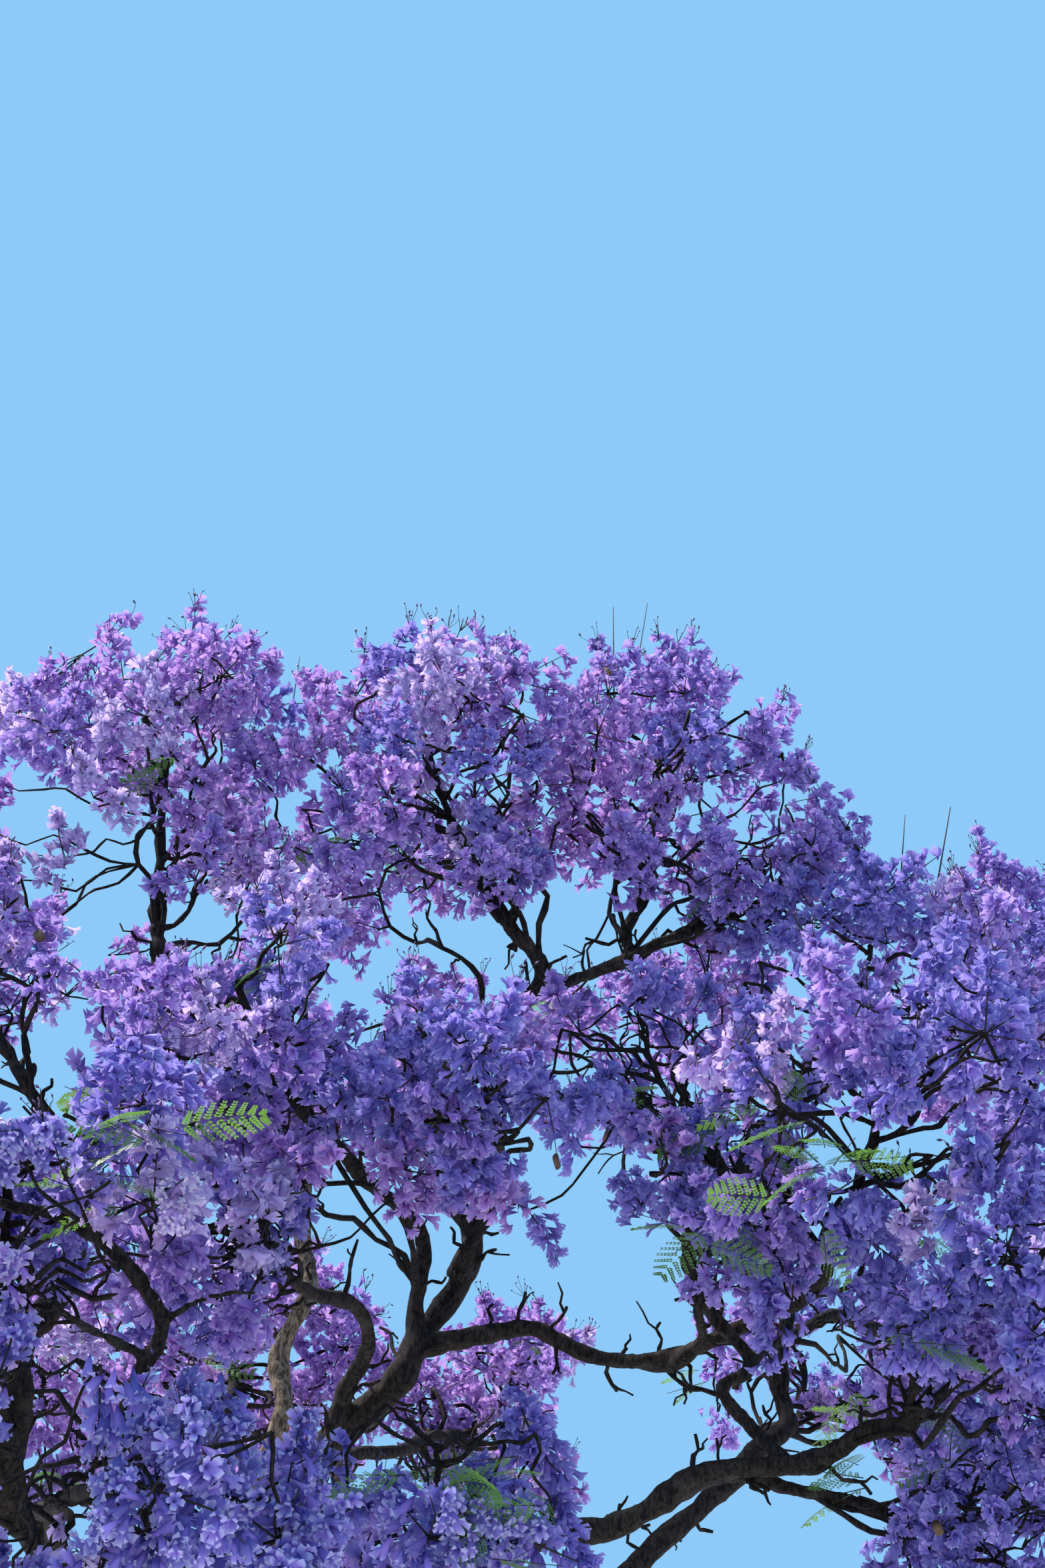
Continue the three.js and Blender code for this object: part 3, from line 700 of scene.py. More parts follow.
def tubes(lines, radii, sides):
    """Closed tubes along lines with the same number of rows: corners and faces."""
    lines, radii = np.asarray(lines, float), np.asarray(radii, float)
    count, rows = radii.shape
    ahead = np.concatenate([lines[:, 1:], lines[:, -1:]], 1)
    behind = np.concatenate([lines[:, :1], lines[:, :-1]], 1)
    heading = unit(ahead - behind)
    along_x = np.abs(heading[:, 0, :1]) > MOSTLY
    side = np.where(along_x, np.array([[0.0, 1.0, 0.0]]), np.array([[1.0, 0.0, 0.0]]))
    turn = 2 * math.pi * np.arange(sides) / sides
    corners = np.empty((count, rows * sides + 2, 3))
    for row in range(rows):
        onward = heading[:, row]
        side = unit(side - onward * (side * onward).sum(1, keepdims=True))
        up = np.cross(onward, side)
        ring = np.cos(turn)[None, :, None] * side[:, None] + np.sin(turn)[None, :, None] * up[:, None]
        corners[:, row * sides:(row + 1) * sides] = lines[:, row, None] + radii[:, row, None, None] * ring
    corners[:, -2], corners[:, -1] = lines[:, 0], lines[:, -1]
    return spread_out(corners, tube_faces(rows, sides))


def spread_out(corners, faces):
    """Corners and faces of many copies, as two plain tables."""
    count, per_copy = corners.shape[:2]
    table = faces[None] + (per_copy * np.arange(count))[:, None, None]
    return corners.reshape(-1, 3), table.reshape(-1, 3)


def joined(parts):
    """Corners and faces of several parts as one."""
    corners, faces, total = [], [], 0
    for part_corners, part_faces in parts:
        corners.append(part_corners)
        faces.append(part_faces + total)
        total += len(part_corners)
    return np.concatenate(corners), np.concatenate(faces)


def copies(shape, places, headings, sizes):
    """Copies of a small shape that stands along +Z, each turned to its heading."""
    corners, faces = shape
    z = unit(headings)
    x = crosswise(z, len(z))
    basis = np.stack([x, np.cross(z, x), z], 2)
    moved = places[:, None] + np.einsum("nij,nvj->nvi", basis, sizes[:, None, :] * corners[None])
    return spread_out(moved, faces)


def new_piece(name, corners, faces, material, slot, nodes, smooth=False, chart=None):
    """A visible piece of triangles, which stands for some of the solids."""
    mesh = bpy.data.meshes.new(name)
    mesh.vertices.add(len(corners))
    mesh.vertices.foreach_set("co", corners.astype(np.float32).ravel())
    mesh.loops.add(faces.size)
    mesh.loops.foreach_set("vertex_index", faces.astype(np.int32).ravel())
    mesh.polygons.add(len(faces))
    mesh.polygons.foreach_set("loop_start", np.arange(0, faces.size, 3, dtype=np.int32))
    mesh.update(calc_edges=True)
    if chart is not None:
        layer = mesh.uv_layers.new(name="petals")
        layer.data.foreach_set("uv", chart[faces.ravel()].astype(np.float32).ravel())
    if smooth:
        mesh.polygons.foreach_set("use_smooth", np.ones(len(faces), bool))
    mesh.materials.append(material)
    piece = bpy.data.objects.new(name, mesh)
    bpy.context.scene.collection.objects.link(piece)
    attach(piece, "root")
    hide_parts(*nodes)
    return piece


# Finishes, with the sockets of a Mix node that mixes colours
MIX_FACTOR, MIX_FIRST, MIX_SECOND, MIX_RESULT = 0, 6, 7, 2


class Number:
    """A socket whose value varies over a surface."""

    def __init__(self, finish, socket):
        self.finish = finish
        self.socket = socket

    def math(self, operation, *values):
        return self.finish.add("ShaderNodeMath", dict(operation=operation), dict(enumerate(values)))

    def __add__(self, other):
        return self.math("ADD", self, other)

    def __radd__(self, other):
        return self.math("ADD", other, self)

    def __sub__(self, other):
        return self.math("SUBTRACT", self, other)

    def __rsub__(self, other):
        return self.math("SUBTRACT", other, self)

    def __mul__(self, other):
        return self.math("MULTIPLY", self, other)

    def __rmul__(self, other):
        return self.math("MULTIPLY", other, self)


class Finish:
    """A material that is put together node by node."""

    def __init__(self, name):
        self.material = bpy.data.materials.new(name)
        self.material.use_nodes = True
        self.tree = self.material.node_tree
        self.tree.nodes.clear()

    def add(self, kind, settings=None, values=None, output=0):
        node = self.tree.nodes.new(kind)
        for key, value in (settings or {}).items():
            if key == "stops":
                stops = node.color_ramp.elements
                while len(stops) < len(value):
                    stops.new(0.5)
                for stop, (place, colour) in zip(stops, value):
                    stop.position = place
                    stop.color = (*colour, 1)
            else:
                setattr(node, key, value)
        for key, value in (values or {}).items():
            if isinstance(value, Number):
                self.tree.links.new(value.socket, node.inputs[key])
            else:
                node.inputs[key].default_value = value
        return Number(self, node.outputs[output])

    def place(self):
        """The place of each point of a piece, in metres."""
        return self.add("ShaderNodeTexCoord", output="Object")

    def part(self, vector, axis):
        return self.add("ShaderNodeSeparateXYZ", {}, {0: vector}, axis)

    def ramp(self, factor, *stops):
        return self.add("ShaderNodeValToRGB", dict(stops=stops), {0: factor})

    def noise(self, place, scale, detail=3.0, roughness=0.55):
        values = {"Vector": place, "Scale": scale, "Detail": detail, "Roughness": roughness}
        return self.add("ShaderNodeTexNoise", {}, values)

    def mix(self, factor, first, second, blend="MIX"):
        settings = dict(data_type="RGBA", blend_type=blend)
        values = {MIX_FACTOR: factor, MIX_FIRST: first, MIX_SECOND: second}
        return self.add("ShaderNodeMix", settings, values, MIX_RESULT)

    def body(self, colour, roughness, **more):
        values = {"Base Color": colour, "Roughness": roughness}
        values.update((key.replace("_", " "), value) for key, value in more.items())
        return self.add("ShaderNodeBsdfPrincipled", {}, values)

    def surface(self, shader):
        output = self.tree.nodes.new("ShaderNodeOutputMaterial")
        self.tree.links.new(shader.socket, output.inputs["Surface"])
        return self.material

    def thin_surface(self, share, body, glow):
        """A thin sheet, with a share of light that comes through it."""
        through = self.add("ShaderNodeBsdfTranslucent", {}, {"Color": (*glow, 1)})
        return self.surface(self.add("ShaderNodeMixShader", {}, {0: share, 1: body, 2: through}))


def petals(name, deep, middle, pale, glow):
    """Petals: a deeper tube, a paler mouth and lobes, and a shade for each flower. The deep tube foot is
    partly the flower's own colour and partly painted shade inside the panicle; the pale lobe rims are partly
    painted highlight.
    """
    finish = Finish(name)
    chart = finish.add("ShaderNodeTexCoord", output="UV")
    shade = finish.part(chart, "X")
    # Dark at the tube's foot, partly painted shade deep in the panicle, and pale at the rims, partly painted
    # highlight
    colour = finish.ramp(finish.part(chart, "Y"), (0.0, deep), (0.45, middle), (0.72, middle), (1.0, pale))
    values = {"Hue": 0.47 + shade * 0.05, "Value": 0.68 + shade * 0.5, "Color": colour}
    colour = finish.add("ShaderNodeHueSaturation", {}, values)
    return finish.thin_surface(0.46, finish.body(colour, 0.55, Specular_IOR_Level=0.25), glow)


def leafy(name, colour, glow):
    """Leaves: darker in patches, with light through them."""
    finish = Finish(name)
    dark = [0.6 * part for part in colour]
    shade = finish.ramp(finish.noise(finish.place(), 5.0), (0.3, dark), (0.7, colour))
    return finish.thin_surface(0.4, finish.body(shade, 0.5), glow)


def bark(name, dark, brown, grey, bump, foot_shade=1.0):
    """Rough bark: dark cracks, brown plates and lichen-grey patches, with painted shade that darkens it
    towards the foot of a limb.
    """
    finish = Finish(name)
    place = finish.place()
    drawn_out = finish.add("ShaderNodeMapping", {}, {"Vector": place, "Scale": (1, 1, 0.35)})
    cracks = finish.noise(drawn_out, 75.0, detail=6.0, roughness=0.7)
    patches = finish.noise(place, 9.0, detail=5.0, roughness=0.65)
    grain = finish.noise(place, 260.0)
    colour = finish.ramp(cracks, (0.42, dark), (0.6, brown))
    pale = finish.ramp(patches, (0.52, (0, 0, 0)), (0.68, (1, 1, 1)))
    speckle = finish.ramp(grain, (0.45, (0.1, 0.1, 0.1)), (0.6, (1, 1, 1)))
    colour = finish.mix(pale * speckle * 0.8, colour, (*grey, 1))
    shade = finish.ramp(finish.part(place, "Z") * 0.2, (0.47, (foot_shade,) * 3), (0.68, (1, 1, 1)))
    colour = finish.mix(1.0, colour, shade, "MULTIPLY")
    values = {"Strength": bump, "Distance": 0.01, "Height": cracks + grain * 0.3}
    normal = finish.add("ShaderNodeBump", {}, values)
    return finish.surface(finish.body(colour, 0.78 + grain * 0.2, Specular_IOR_Level=0.2, Normal=normal))


def plain(name, dark, light, roughness):
    """One colour in two shades."""
    finish = Finish(name)
    colour = finish.ramp(finish.noise(finish.place(), 30.0), (0.35, dark), (0.65, light))
    return finish.surface(finish.body(colour, roughness))


BARK = bark("bark_dark", (0.004, 0.003, 0.003), (0.042, 0.03, 0.024), (0.1, 0.085, 0.073), 1.0)
# Bark with painted sunlight: paler than the rest, with painted shade at its foot where it meets the dark bark
PAINTED_SUNLIT_BARK = bark("bark_sunlit", (0.05, 0.034, 0.022), (0.33, 0.25, 0.17), (0.5, 0.42, 0.33), 0.8, 0.14)
BRANCH_BARK = bark("branch_bark", (0.004, 0.003, 0.003), (0.03, 0.021, 0.018), (0.07, 0.055, 0.045), 1.0)
TWIG = plain("twig_bark", (0.006, 0.004, 0.004), (0.03, 0.019, 0.015), 0.85)
POD = plain("pod_brown", (0.1, 0.05, 0.025), (0.22, 0.12, 0.06), 0.7)
BUD = plain("bud_plum", (0.04, 0.02, 0.07), (0.1, 0.05, 0.16), 0.6)
LEAF = leafy("leaf_green", (0.075, 0.2, 0.03), (0.2, 0.4, 0.05))
# Each tint by its tube, its throat, its lobes and the light through them; the dark tube is partly painted
# shade and the pale lobes partly painted highlight, beside the flowers' own colour
TINTS = {
    "mauve": ((0.18, 0.035, 0.32), (0.46, 0.26, 0.68), (0.77, 0.71, 0.86), (0.56, 0.33, 0.74)),
    "violet": ((0.13, 0.035, 0.3), (0.38, 0.235, 0.66), (0.69, 0.65, 0.85), (0.48, 0.32, 0.74)),
    "blue": ((0.09, 0.037, 0.29), (0.285, 0.225, 0.64), (0.58, 0.58, 0.85), (0.37, 0.295, 0.73)),
    "pale": ((0.24, 0.1, 0.41), (0.56, 0.42, 0.76), (0.85, 0.81, 0.91), (0.65, 0.5, 0.8)),
}
PETAL_FINISHES = {tint: petals("petal_" + tint, *colours) for tint, colours in TINTS.items()}


def gap_cones():
    """Small gaps, each a cone from the lookout, dealt out over their fields."""
    cones = []
    for turn, lift, wide, high, number in GAPS:
        for across, up in rng.uniform(-1, 1, (number, 2)):
            half = GAP_HALF * rng.uniform(0.5, 1.5)
            cones.append((turn + across * wide, lift + up * high, half, math.inf))
    return cones


KEPT_CLEAR = BARE + [(*cone, math.inf) for cone in ABOVE]
SMALL_GAPS = gap_cones()


def thinned(name, twigs_of_mass):
    """The twigs of a mass whose sprays neither hide a bare limb nor fall where it grows thin."""
    kept = []
    for twig in twigs_of_mass:
        places = np.array([spray["place"] for spray in twig["sprays"]])
        stays = ~within_cones(places, KEPT_CLEAR, CLEAR_OF_BARE)
        stays &= rng.random(len(places)) >= SPARSE.get(name, 0)
        sprays = [spray for spray, stay in zip(twig["sprays"], stays) if stay]
        if sprays:
            kept.append(dict(twig, sprays=sprays))
    return kept


# Limbs
grown = {}
for number, limb in enumerate(LIMBS):
    grown[limb["name"]] = grow_bough(limb, number, grown)
masses = list(grown.values())
for mass in masses:
    find_borders(mass, masses)
    mass["twigs"] = thinned(mass["name"], grow_mass(mass))
LIMB_NODES = ["trunk"] + ["bough_" + mass["name"] for mass in masses if mass["name"] != SUNLIT_LIMB]
MASS_NODES = ["blossom_" + mass["name"] for mass in masses]


def trunk_tube():
    """The trunk with its flare, from under the ground so that it can be cut level there."""
    heights = np.concatenate([BELOW_GROUND, np.arange(0, FORK_HEIGHT + 1, TRUNK_STEP)])
    turn = 2 * math.pi * np.arange(TRUNK_SIDES) / TRUNK_SIDES
    rings = []
    for height in heights:
        radius = trunk_radius(max(height, 0), turn)
        ring = np.stack([radius * np.cos(turn), radius * np.sin(turn), 0 * turn], 1)
        rings.append(ring + trunk_middle(height))
    ends = [trunk_middle(heights[0]), trunk_middle(heights[-1])]
    return np.concatenate([*rings, ends]) * METRES, tube_faces(len(heights), TRUNK_SIDES)


def bough_tube(mass):
    """A bough with knots along it and a collar where it leaves its parent."""
    length, number = mass["length"], mass["number"]
    rows = max(SKIN_ROWS_AT_LEAST, int(length / SKIN_STEP))
    places, radii = mass["line"](rows)
    spots = np.arange(rows + 1) * length / rows
    slow, quick = UNEVEN_LENGTHS
    knots = 1 + UNEVENNESS * np.sin(spots / slow + number) + UNEVENNESS * np.sin(spots / quick + 2 * number)
    for _ in range(int(length / KNOT_SPACING)):
        height = rng.uniform(*KNOT_HEIGHTS)
        knots += height * np.exp(-((spots - rng.uniform(0, length)) / KNOT_LENGTH) ** 2)
    collar = 1 + COLLAR * np.exp(-spots / (COLLAR_LENGTH * radii[0]))
    side = unit(rng.normal(size=3))
    bends = np.sin(spots / BEND_LENGTH + number)[:, None] * side * BEND_DEPTH * radii[:, None]
    bends = bends + rng.normal(size=places.shape) * UNEVENNESS * radii[:, None]
    bends[0] = bends[-1] = 0
    mass["line_points"] = (places + bends) * METRES
    mass["line_radii"] = radii * METRES
    return tubes([mass["line_points"]], [radii * knots * collar * METRES], BOUGH_SIDES)


def arm_tube(points, thick, thin):
    """A crooked limb through the points."""
    points = np.array(points, float)
    rows = ARM_ROWS * (len(points) - 1)
    spots = np.array([along(points, row / rows) for row in range(rows + 1)])
    radii = lerp(thick, thin, np.arange(rows + 1) / rows)
    radii = radii * (1 + ARM_UNEVENNESS * rng.normal(size=rows + 1).clip(-1, 1.6))
    return tubes([spots * METRES], [radii * METRES], ARM_SIDES)


def corner_values(mesh, kind):
    """The places or the normals of a mesh's corners."""
    values = np.empty(len(mesh.vertices) * 3, np.float32)
    mesh.vertices.foreach_get(kind, values)
    return values.reshape(-1, 3)


def bark_piece(name, parts, voxel, material, nodes):
    """Limbs grown into one skin, with relief, cut level at the ground."""
    piece = new_piece(name, *joined(parts), material, "bark", nodes, smooth=True)
    bpy.context.view_layer.objects.active = piece
    remesh = piece.modifiers.new("skin", "REMESH")
    remesh.mode = "VOXEL"
    remesh.voxel_size = voxel
    bpy.ops.object.modifier_apply(modifier="skin")
    mesh = piece.data
    places, normals = corner_values(mesh, "co"), corner_values(mesh, "normal")
    depth = RELIEF + TRUNK_RELIEF * (1 - smoothstep(places[:, 2], *TRUNK_RELIEF_ENDS))
    relief = np.array([
        noise.noise(coarse) + FINE_SHARE * noise.noise(fine)
        for coarse, fine in zip(places * COARSE_RELIEF, places * FINE_RELIEF)
    ])
    places += normals * (depth * relief)[:, None]
    mesh.vertices.foreach_set("co", places.ravel())
    piece.select_set(True)
    bpy.ops.object.mode_set(mode="EDIT")
    bpy.ops.mesh.select_all(action="SELECT")
    bpy.ops.mesh.bisect(plane_co=(0, 0, 0), plane_no=(0, 0, 1), clear_inner=True, use_fill=True)
    bpy.ops.object.mode_set(mode="OBJECT")
    piece.select_set(False)
    places = corner_values(mesh, "co")
    places[:, 2] = np.maximum(places[:, 2], 0)
    mesh.vertices.foreach_set("co", places.ravel())
    mesh.polygons.foreach_set("use_smooth", np.ones(len(mesh.polygons), bool))
    mesh.update()


boughs = {mass["name"]: bough_tube(mass) for mass in masses}
# The limb with painted sunlight on its bark is a piece of its own
sunlit_limb = boughs.pop(SUNLIT_LIMB)
arms = [arm_tube(*arm) for arm in ARMS]
bark_piece("limbs", [trunk_tube(), *boughs.values(), *arms], VOXEL, BARK, LIMB_NODES)
bark_piece("back_limb", [sunlit_limb], SUNLIT_LIMB_VOXEL, PAINTED_SUNLIT_BARK, ["bough_" + SUNLIT_LIMB])


# Branches inside the masses, spurs and bare forks
branches, twigs = [], []


def add_branches(lines, foot_and_tip, sides, into):
    """Uneven tubes along lines, each from its radius at the foot to its radius at the tip."""
    rows = lines.shape[1]
    foot, tip = (np.reshape(radius, (-1, 1)) for radius in foot_and_tip)
    radii = np.broadcast_to(lerp(foot, tip, np.linspace(0, 1, rows)), (len(lines), rows)).copy()
    radii *= 1 + BRANCH_UNEVENNESS * rng.normal(size=radii.shape).clip(-1.2, 1.6)
    into.append(tubes(lines, radii, sides))


def spurs(mass):
    """Stubs and short bare forks along a bough, blunt at their ends."""
    points, radii = mass["line_points"], mass["line_radii"]
    count = max(2, int(mass["length"] * METRES / SPUR_SPACING))
    spots = rng.uniform(0.12, 1, count) * (len(points) - 2)
    index = spots.astype(int)
    starts = lerp(points[index], points[index + 1], (spots - index)[:, None])
    heading = unit(points[index + 1] - points[index])
    outward = unit(crosswise(heading, count) + 0.45 * heading + 0.3 * UP)
    length = rng.uniform(0.04, 0.1, count) + rng.exponential(0.06, count).clip(0, 0.22)
    ends = starts + outward * (length + radii[index])[:, None]
    lines = wandering(starts, ends, rows=5, wander=0.09, kink=0.004)
    thick = np.minimum(SPUR_RADIUS, 0.42 * radii[index])
    add_branches(rounded(lines), (thick, 0.6 * thick), 5, branches)
    forked = length > FORKED_SPUR
    if forked.any():
        joints, way, thick = lines[forked, 3], outward[forked], thick[forked]
        fork_way = unit(way + 1.1 * crosswise(way, len(joints)))
        fork_ends = joints + fork_way * rng.uniform(0.05, 0.14, len(joints))[:, None]
        forks = wandering(joints, fork_ends, rows=4, wander=0.1, kink=0.003)
        add_branches(forks, (0.6 * thick, 0.35 * thick), 4, branches)


def risers(mass):
    """Bare crooked limbs that leave the last part of a bough for the sprays of its mass."""
    points, radii = mass["line_points"], mass["line_radii"]
    sprays = [spray for twig in mass["twigs"] if "filler" not in twig for spray in twig["sprays"]]
    places = np.array([spray["place"] for spray in sprays]) * METRES
    count = min(len(places), SKIRT_RISERS if mass["name"].startswith("skirt") else RISERS)
    chosen = places[np.argsort(places[:, 2] + rng.uniform(0, 0.4, len(places)))[:count]]
    tried = (rng.uniform(0.3, 0.97, (count, RISER_TRIES)) * (len(points) - 2)).astype(int)
    gap = chosen[:, None] - points[tried]
    effort = np.linalg.norm(gap, axis=2) + DROOP_PRICE * np.maximum(RISER_RISE - gap[..., 2], 0)
    spots = tried[np.arange(count), effort.argmin(1)]
    starts = points[spots]
    lines = wandering(starts, chosen, RISER_ROWS, wander=0.09, kink=0.009)
    length = np.linalg.norm(chosen - starts, axis=1)[:, None, None]
    bow = np.sin(math.pi * np.linspace(0, 1, RISER_ROWS) ** 0.8)[None, :, None]
    lines += RISER_BOW * length * bow * unit(points[spots + 1] - starts)[:, None]
    thick = np.minimum(RISER[0], 0.5 * radii[spots])
    add_branches(rounded(lines), (thick, RISER[1]), 6, branches)
    mass["riser_places"] = lines[:, RISER_JOINTS].reshape(-1, 3)
    for row in RISER_FORKS:
        joints = lines[:, row]
        heading = unit(lines[:, row + 1] - joints)
        outward = unit(heading + crosswise(heading, count) + 0.35 * UP)
        ends = joints + outward * rng.uniform(0.08, 0.3, count)[:, None]
        forks = wandering(joints, ends, rows=6, wander=0.08, kink=0.006)
        add_branches(rounded(forks), (thick * (1 - row / RISER_FORK_TAPER), RISER_FORK_TIP), 4, branches)
        tips = forks[:, 3]
        tip_ends = tips + unit(outward + crosswise(outward, count)) * rng.uniform(0.04, 0.12, count)[:, None]
        add_branches(wandering(tips, tip_ends, rows=4, wander=0.08, kink=0.003), FORK_TWIG, 3, twigs)


def outer_end(twig):
    """The end of a twig, at the furthest of its sprays."""
    share = max(lerp(INNER_SPRAY, 1, spray["number"] <= RING_SPRAYS) for spray in twig["sprays"])
    return lerp(twig["root"], twig["tip"], share)


def inner_branches(mass):
    """The stem of a mass and the twigs that carry its sprays."""
    places, radii = mass["stem"]
    stem = np.array([along(places, t) for t in np.linspace(0, 1, STEM_SPOTS)]) * METRES
    stem[0] = mass["line_points"][-1]
    stem[1:-1] += rng.normal(size=(STEM_SPOTS - 2, 3)) * STEM_KINK
    add_branches(stem[None], radii[[0, -1]] * METRES, STEM_SIDES, branches)
    starts = np.array([twig["root"] for twig in mass["twigs"]]) * METRES
    ends = np.array([outer_end(twig) for twig in mass["twigs"]]) * METRES
    lines = wandering(starts, ends, rows=8, wander=0.05, kink=0.006)
    add_branches(rounded(lines), CARRIER, 5, branches)
    for twig, line in zip(mass["twigs"], lines):
        twig["line"] = line


for mass in masses:
    spurs(mass)
    risers(mass)
    inner_branches(mass)


# Panicles, each with its own place, axis and tint
def fan(count):
    """Directions spread evenly over a ball."""
    k = np.arange(count) + 0.5
    rise = 1 - 2 * k / count
    turn = GOLDEN_ANGLE * k + rng.uniform(0, 2 * math.pi)
    flat = np.sqrt(1 - rise**2)
    return np.stack([flat * np.cos(turn), flat * np.sin(turn), rise], 1)


def hanging(mass):
    """Sprays below a mass of the crown, over the bare forks that carry it, and beside it."""
    drop = HANG.get(mass["name"], 0)
    count = whole(drop / HANGING_STEP)
    turn = GOLDEN_ANGLE * np.arange(count)
    out = mass["size"] * HANGING_REACH * np.sqrt((np.arange(count) + 0.5) / max(count, 1))
    depth = drop * rng.uniform(0.1, 1, count) * (1 - 0.5 * (out / mass["size"]) ** 2)
    level = -HANGING_LEVEL * mass["size"] - depth
    places = mass["middle"] + np.stack([out * np.cos(turn), out * np.sin(turn), level], 1)
    places = [*places, *np.array(BESIDE.get(mass["name"], np.empty((0, 3))), float)]
    return [dict(place=place, radius=rng.uniform(*HANGING_RADII)) for place in places]


def rooted_sprays(mass):
    """Each spray of a mass with the place where its fork starts, on a twig or on the nearest riser."""
    sprays = []
    for twig in mass["twigs"]:
        for spray in twig["sprays"]:
            inner = spray["number"] > RING_SPRAYS
            sprays.append((spray, twig["line"][len(twig["line"]) // 2 if inner else -1]))
    joints = mass["riser_places"]
    for spray in hanging(mass):
        gaps = np.linalg.norm(joints - spray["place"] * METRES, axis=1)
        sprays.append((spray, joints[np.argmin(gaps)]))
    return sprays


def grow_panicles(mass):
    """Panicles round the middle of each spray: place, way out, root of the stalk, tint and spray's place."""
    rows = []
    for spray, root in rooted_sprays(mass):
        radius = spray["radius"]
        count = max(PANICLES_AT_LEAST, whole(PANICLES * (radius / FULL_SPRAY) ** 2))
        ways = unit(fan(count) + rng.normal(size=(count, 3)) * 0.15)
        places = spray["place"] + ways * (PANICLE_PLACE * radius * rng.uniform(0.8, 1.1, count))[:, None]
        free = ~within_cones(places, WINDOWS, PANICLE_HALF) & ~within_cones(places, KEPT_CLEAR, CLEAR_OF_BARE)
        free &= ~within_cones(places, SMALL_GAPS, CLEAR_OF_GAPS)
        tint = pick_tint(*spray["place"])
        for place, way in zip(places[free], ways[free]):
            rows.append((place * METRES, way, root, tint, spray["place"] * METRES))
    return rows


def share_between(x, start, end):
    """How far x has come from the start of a field to its end, from 0 to 1."""
    return np.clip((x - start) / (end - start), 0, 1)


def pick_tint(x, y, z):
    """Mauve at the top and the back, violet and blue low in front and right, with pale sprays at the left:
    partly a random mix of the flowers' own tints, partly painted light and shade, paler and warmer on the
    sides the sun lights and bluer on the shaded ones.
    """
    # More pale sprays at the left, where they are painted sunlight
    if rng.random() < PALE_CHANCE + SUNLIT_LEFT_PALE_CHANCE * share_between(x, *LEFT_FIELD):
        return "pale"
    height = (z - CROWN_FOOT) / CROWN_HEIGHT
    back, right = share_between(y, *BACK_FIELD), share_between(x, *RIGHT_FIELD)
    # Painted light and shade: warmer at the sunlit top and back, cooler on the shaded right, with a random
    # share for the flowers' own tints
    warm = 0.14 + 0.62 * height + 0.4 * back - 0.25 * right + 0.2 * rng.normal()
    return "mauve" if warm > MAUVE_FROM else "violet" if warm > VIOLET_FROM else "blue"


def open_ways(centres, ends):
    """For each place, whether the way towards a far end is free of other panicles."""
    free = np.empty(len(centres), bool)
    for start in range(0, len(centres), BLOCK):
        block = slice(start, start + BLOCK)
        gap = centres[None] - centres[block, None]
        ahead = (gap * unit(ends[block])[:, None]).sum(2)
        aside = (gap * gap).sum(2) - ahead * ahead
        free[block] = ((ahead > WAY_START) & (aside < WAY_WIDTH_SQUARED)).sum(1) < PANICLES_TO_SHADE
    return free


panicles = [row for mass in masses for row in grow_panicles(mass)]
centres = np.array([row[0] for row in panicles])
light = sum(open_ways(centres, np.broadcast_to(way, centres.shape)).astype(int) for way in fan(LIGHT_SIDES))
seen = open_ways(centres, LOOKOUT * METRES - centres)
chosen = np.where((light > LIT_SIDES) | seen)[0]
panicles = [panicles[i] for i in chosen]
centres, light, seen = centres[chosen], light[chosen], seen[chosen]
ways, roots, tints, hearts = (np.array([row[part] for row in panicles]) for part in (1, 2, 3, 4))
axes = unit(0.75 * ways + 0.5 * UP + 0.35 * rng.normal(size=centres.shape))
reach = rng.uniform(0.8, 1.15, len(panicles))
closeness = 1 - smoothstep(np.linalg.norm(centres - LOOKOUT * METRES, axis=1), NEAREST, FARTHEST)

# A fork in the middle of each spray, and the stalk of each panicle
_, first = np.unique(np.round(hearts, 4), axis=0, return_index=True)
forks = wandering(roots[first], hearts[first], rows=6, wander=0.06, kink=0.006)
add_branches(rounded(forks), SPRAY_FORK, 4, branches)
stalk_ends = centres + axes * (0.5 * PANICLE_LENGTH * reach)[:, None]
add_branches(wandering(hearts, stalk_ends, rows=3, wander=0.06, kink=0.004), PANICLE_STALK, 3, twigs)


def flower_shape(waist=False, curled=False):
    """One flower: a tube that widens to a mouth of blunt lobes, with its chart from the foot to the rim."""
    corners, chart, faces = [(0, 0, 0)], [0.0], []
    turn = 2 * math.pi * np.arange(PETALS) / PETALS
    half = math.pi / PETALS

    def ring(radius, height, place, offset=0.0, lip=0.0):
        start = len(corners)
        for angle in turn + offset:
            wide = radius * (1 + lip * math.cos(angle))
            high = height * (1 + 0.4 * lip * math.cos(angle))
            corners.append((wide * math.cos(angle), wide * math.sin(angle), high))
            chart.append(place)
        return start

    throat = ring(radius=0.23 if waist else 0.19, height=0.7, place=0.55)
    if waist:
        middle = ring(radius=0.16, height=0.36, place=0.3)
        for k in range(PETALS):
            n = (k + 1) % PETALS
            faces.append((0, middle + n, middle + k))
            faces += [(middle + k, middle + n, throat + n), (middle + k, throat + n, throat + k)]
    else:
        faces += [(0, throat + (k + 1) % PETALS, throat + k) for k in range(PETALS)]
    left = ring(radius=0.39, height=0.95, place=0.9, offset=half - 0.44, lip=LIP)
    right = ring(radius=0.38, height=0.89, place=0.9, offset=half + 0.46, lip=LIP)
    for k in range(PETALS):
        n = (k + 1) % PETALS
        faces += [(throat + k, throat + n, right + k), (throat + k, right + k, left + k)]
    if curled:
        low = ring(radius=0.49, height=0.82, place=1.0, offset=half - 0.26, lip=LIP)
        high = ring(radius=0.5, height=0.93, place=1.0, offset=half + 0.22, lip=LIP)
        for k in range(PETALS):
            faces += [(left + k, right + k, high + k), (left + k, high + k, low + k)]
    return np.array(corners), np.array(faces), np.array(chart)


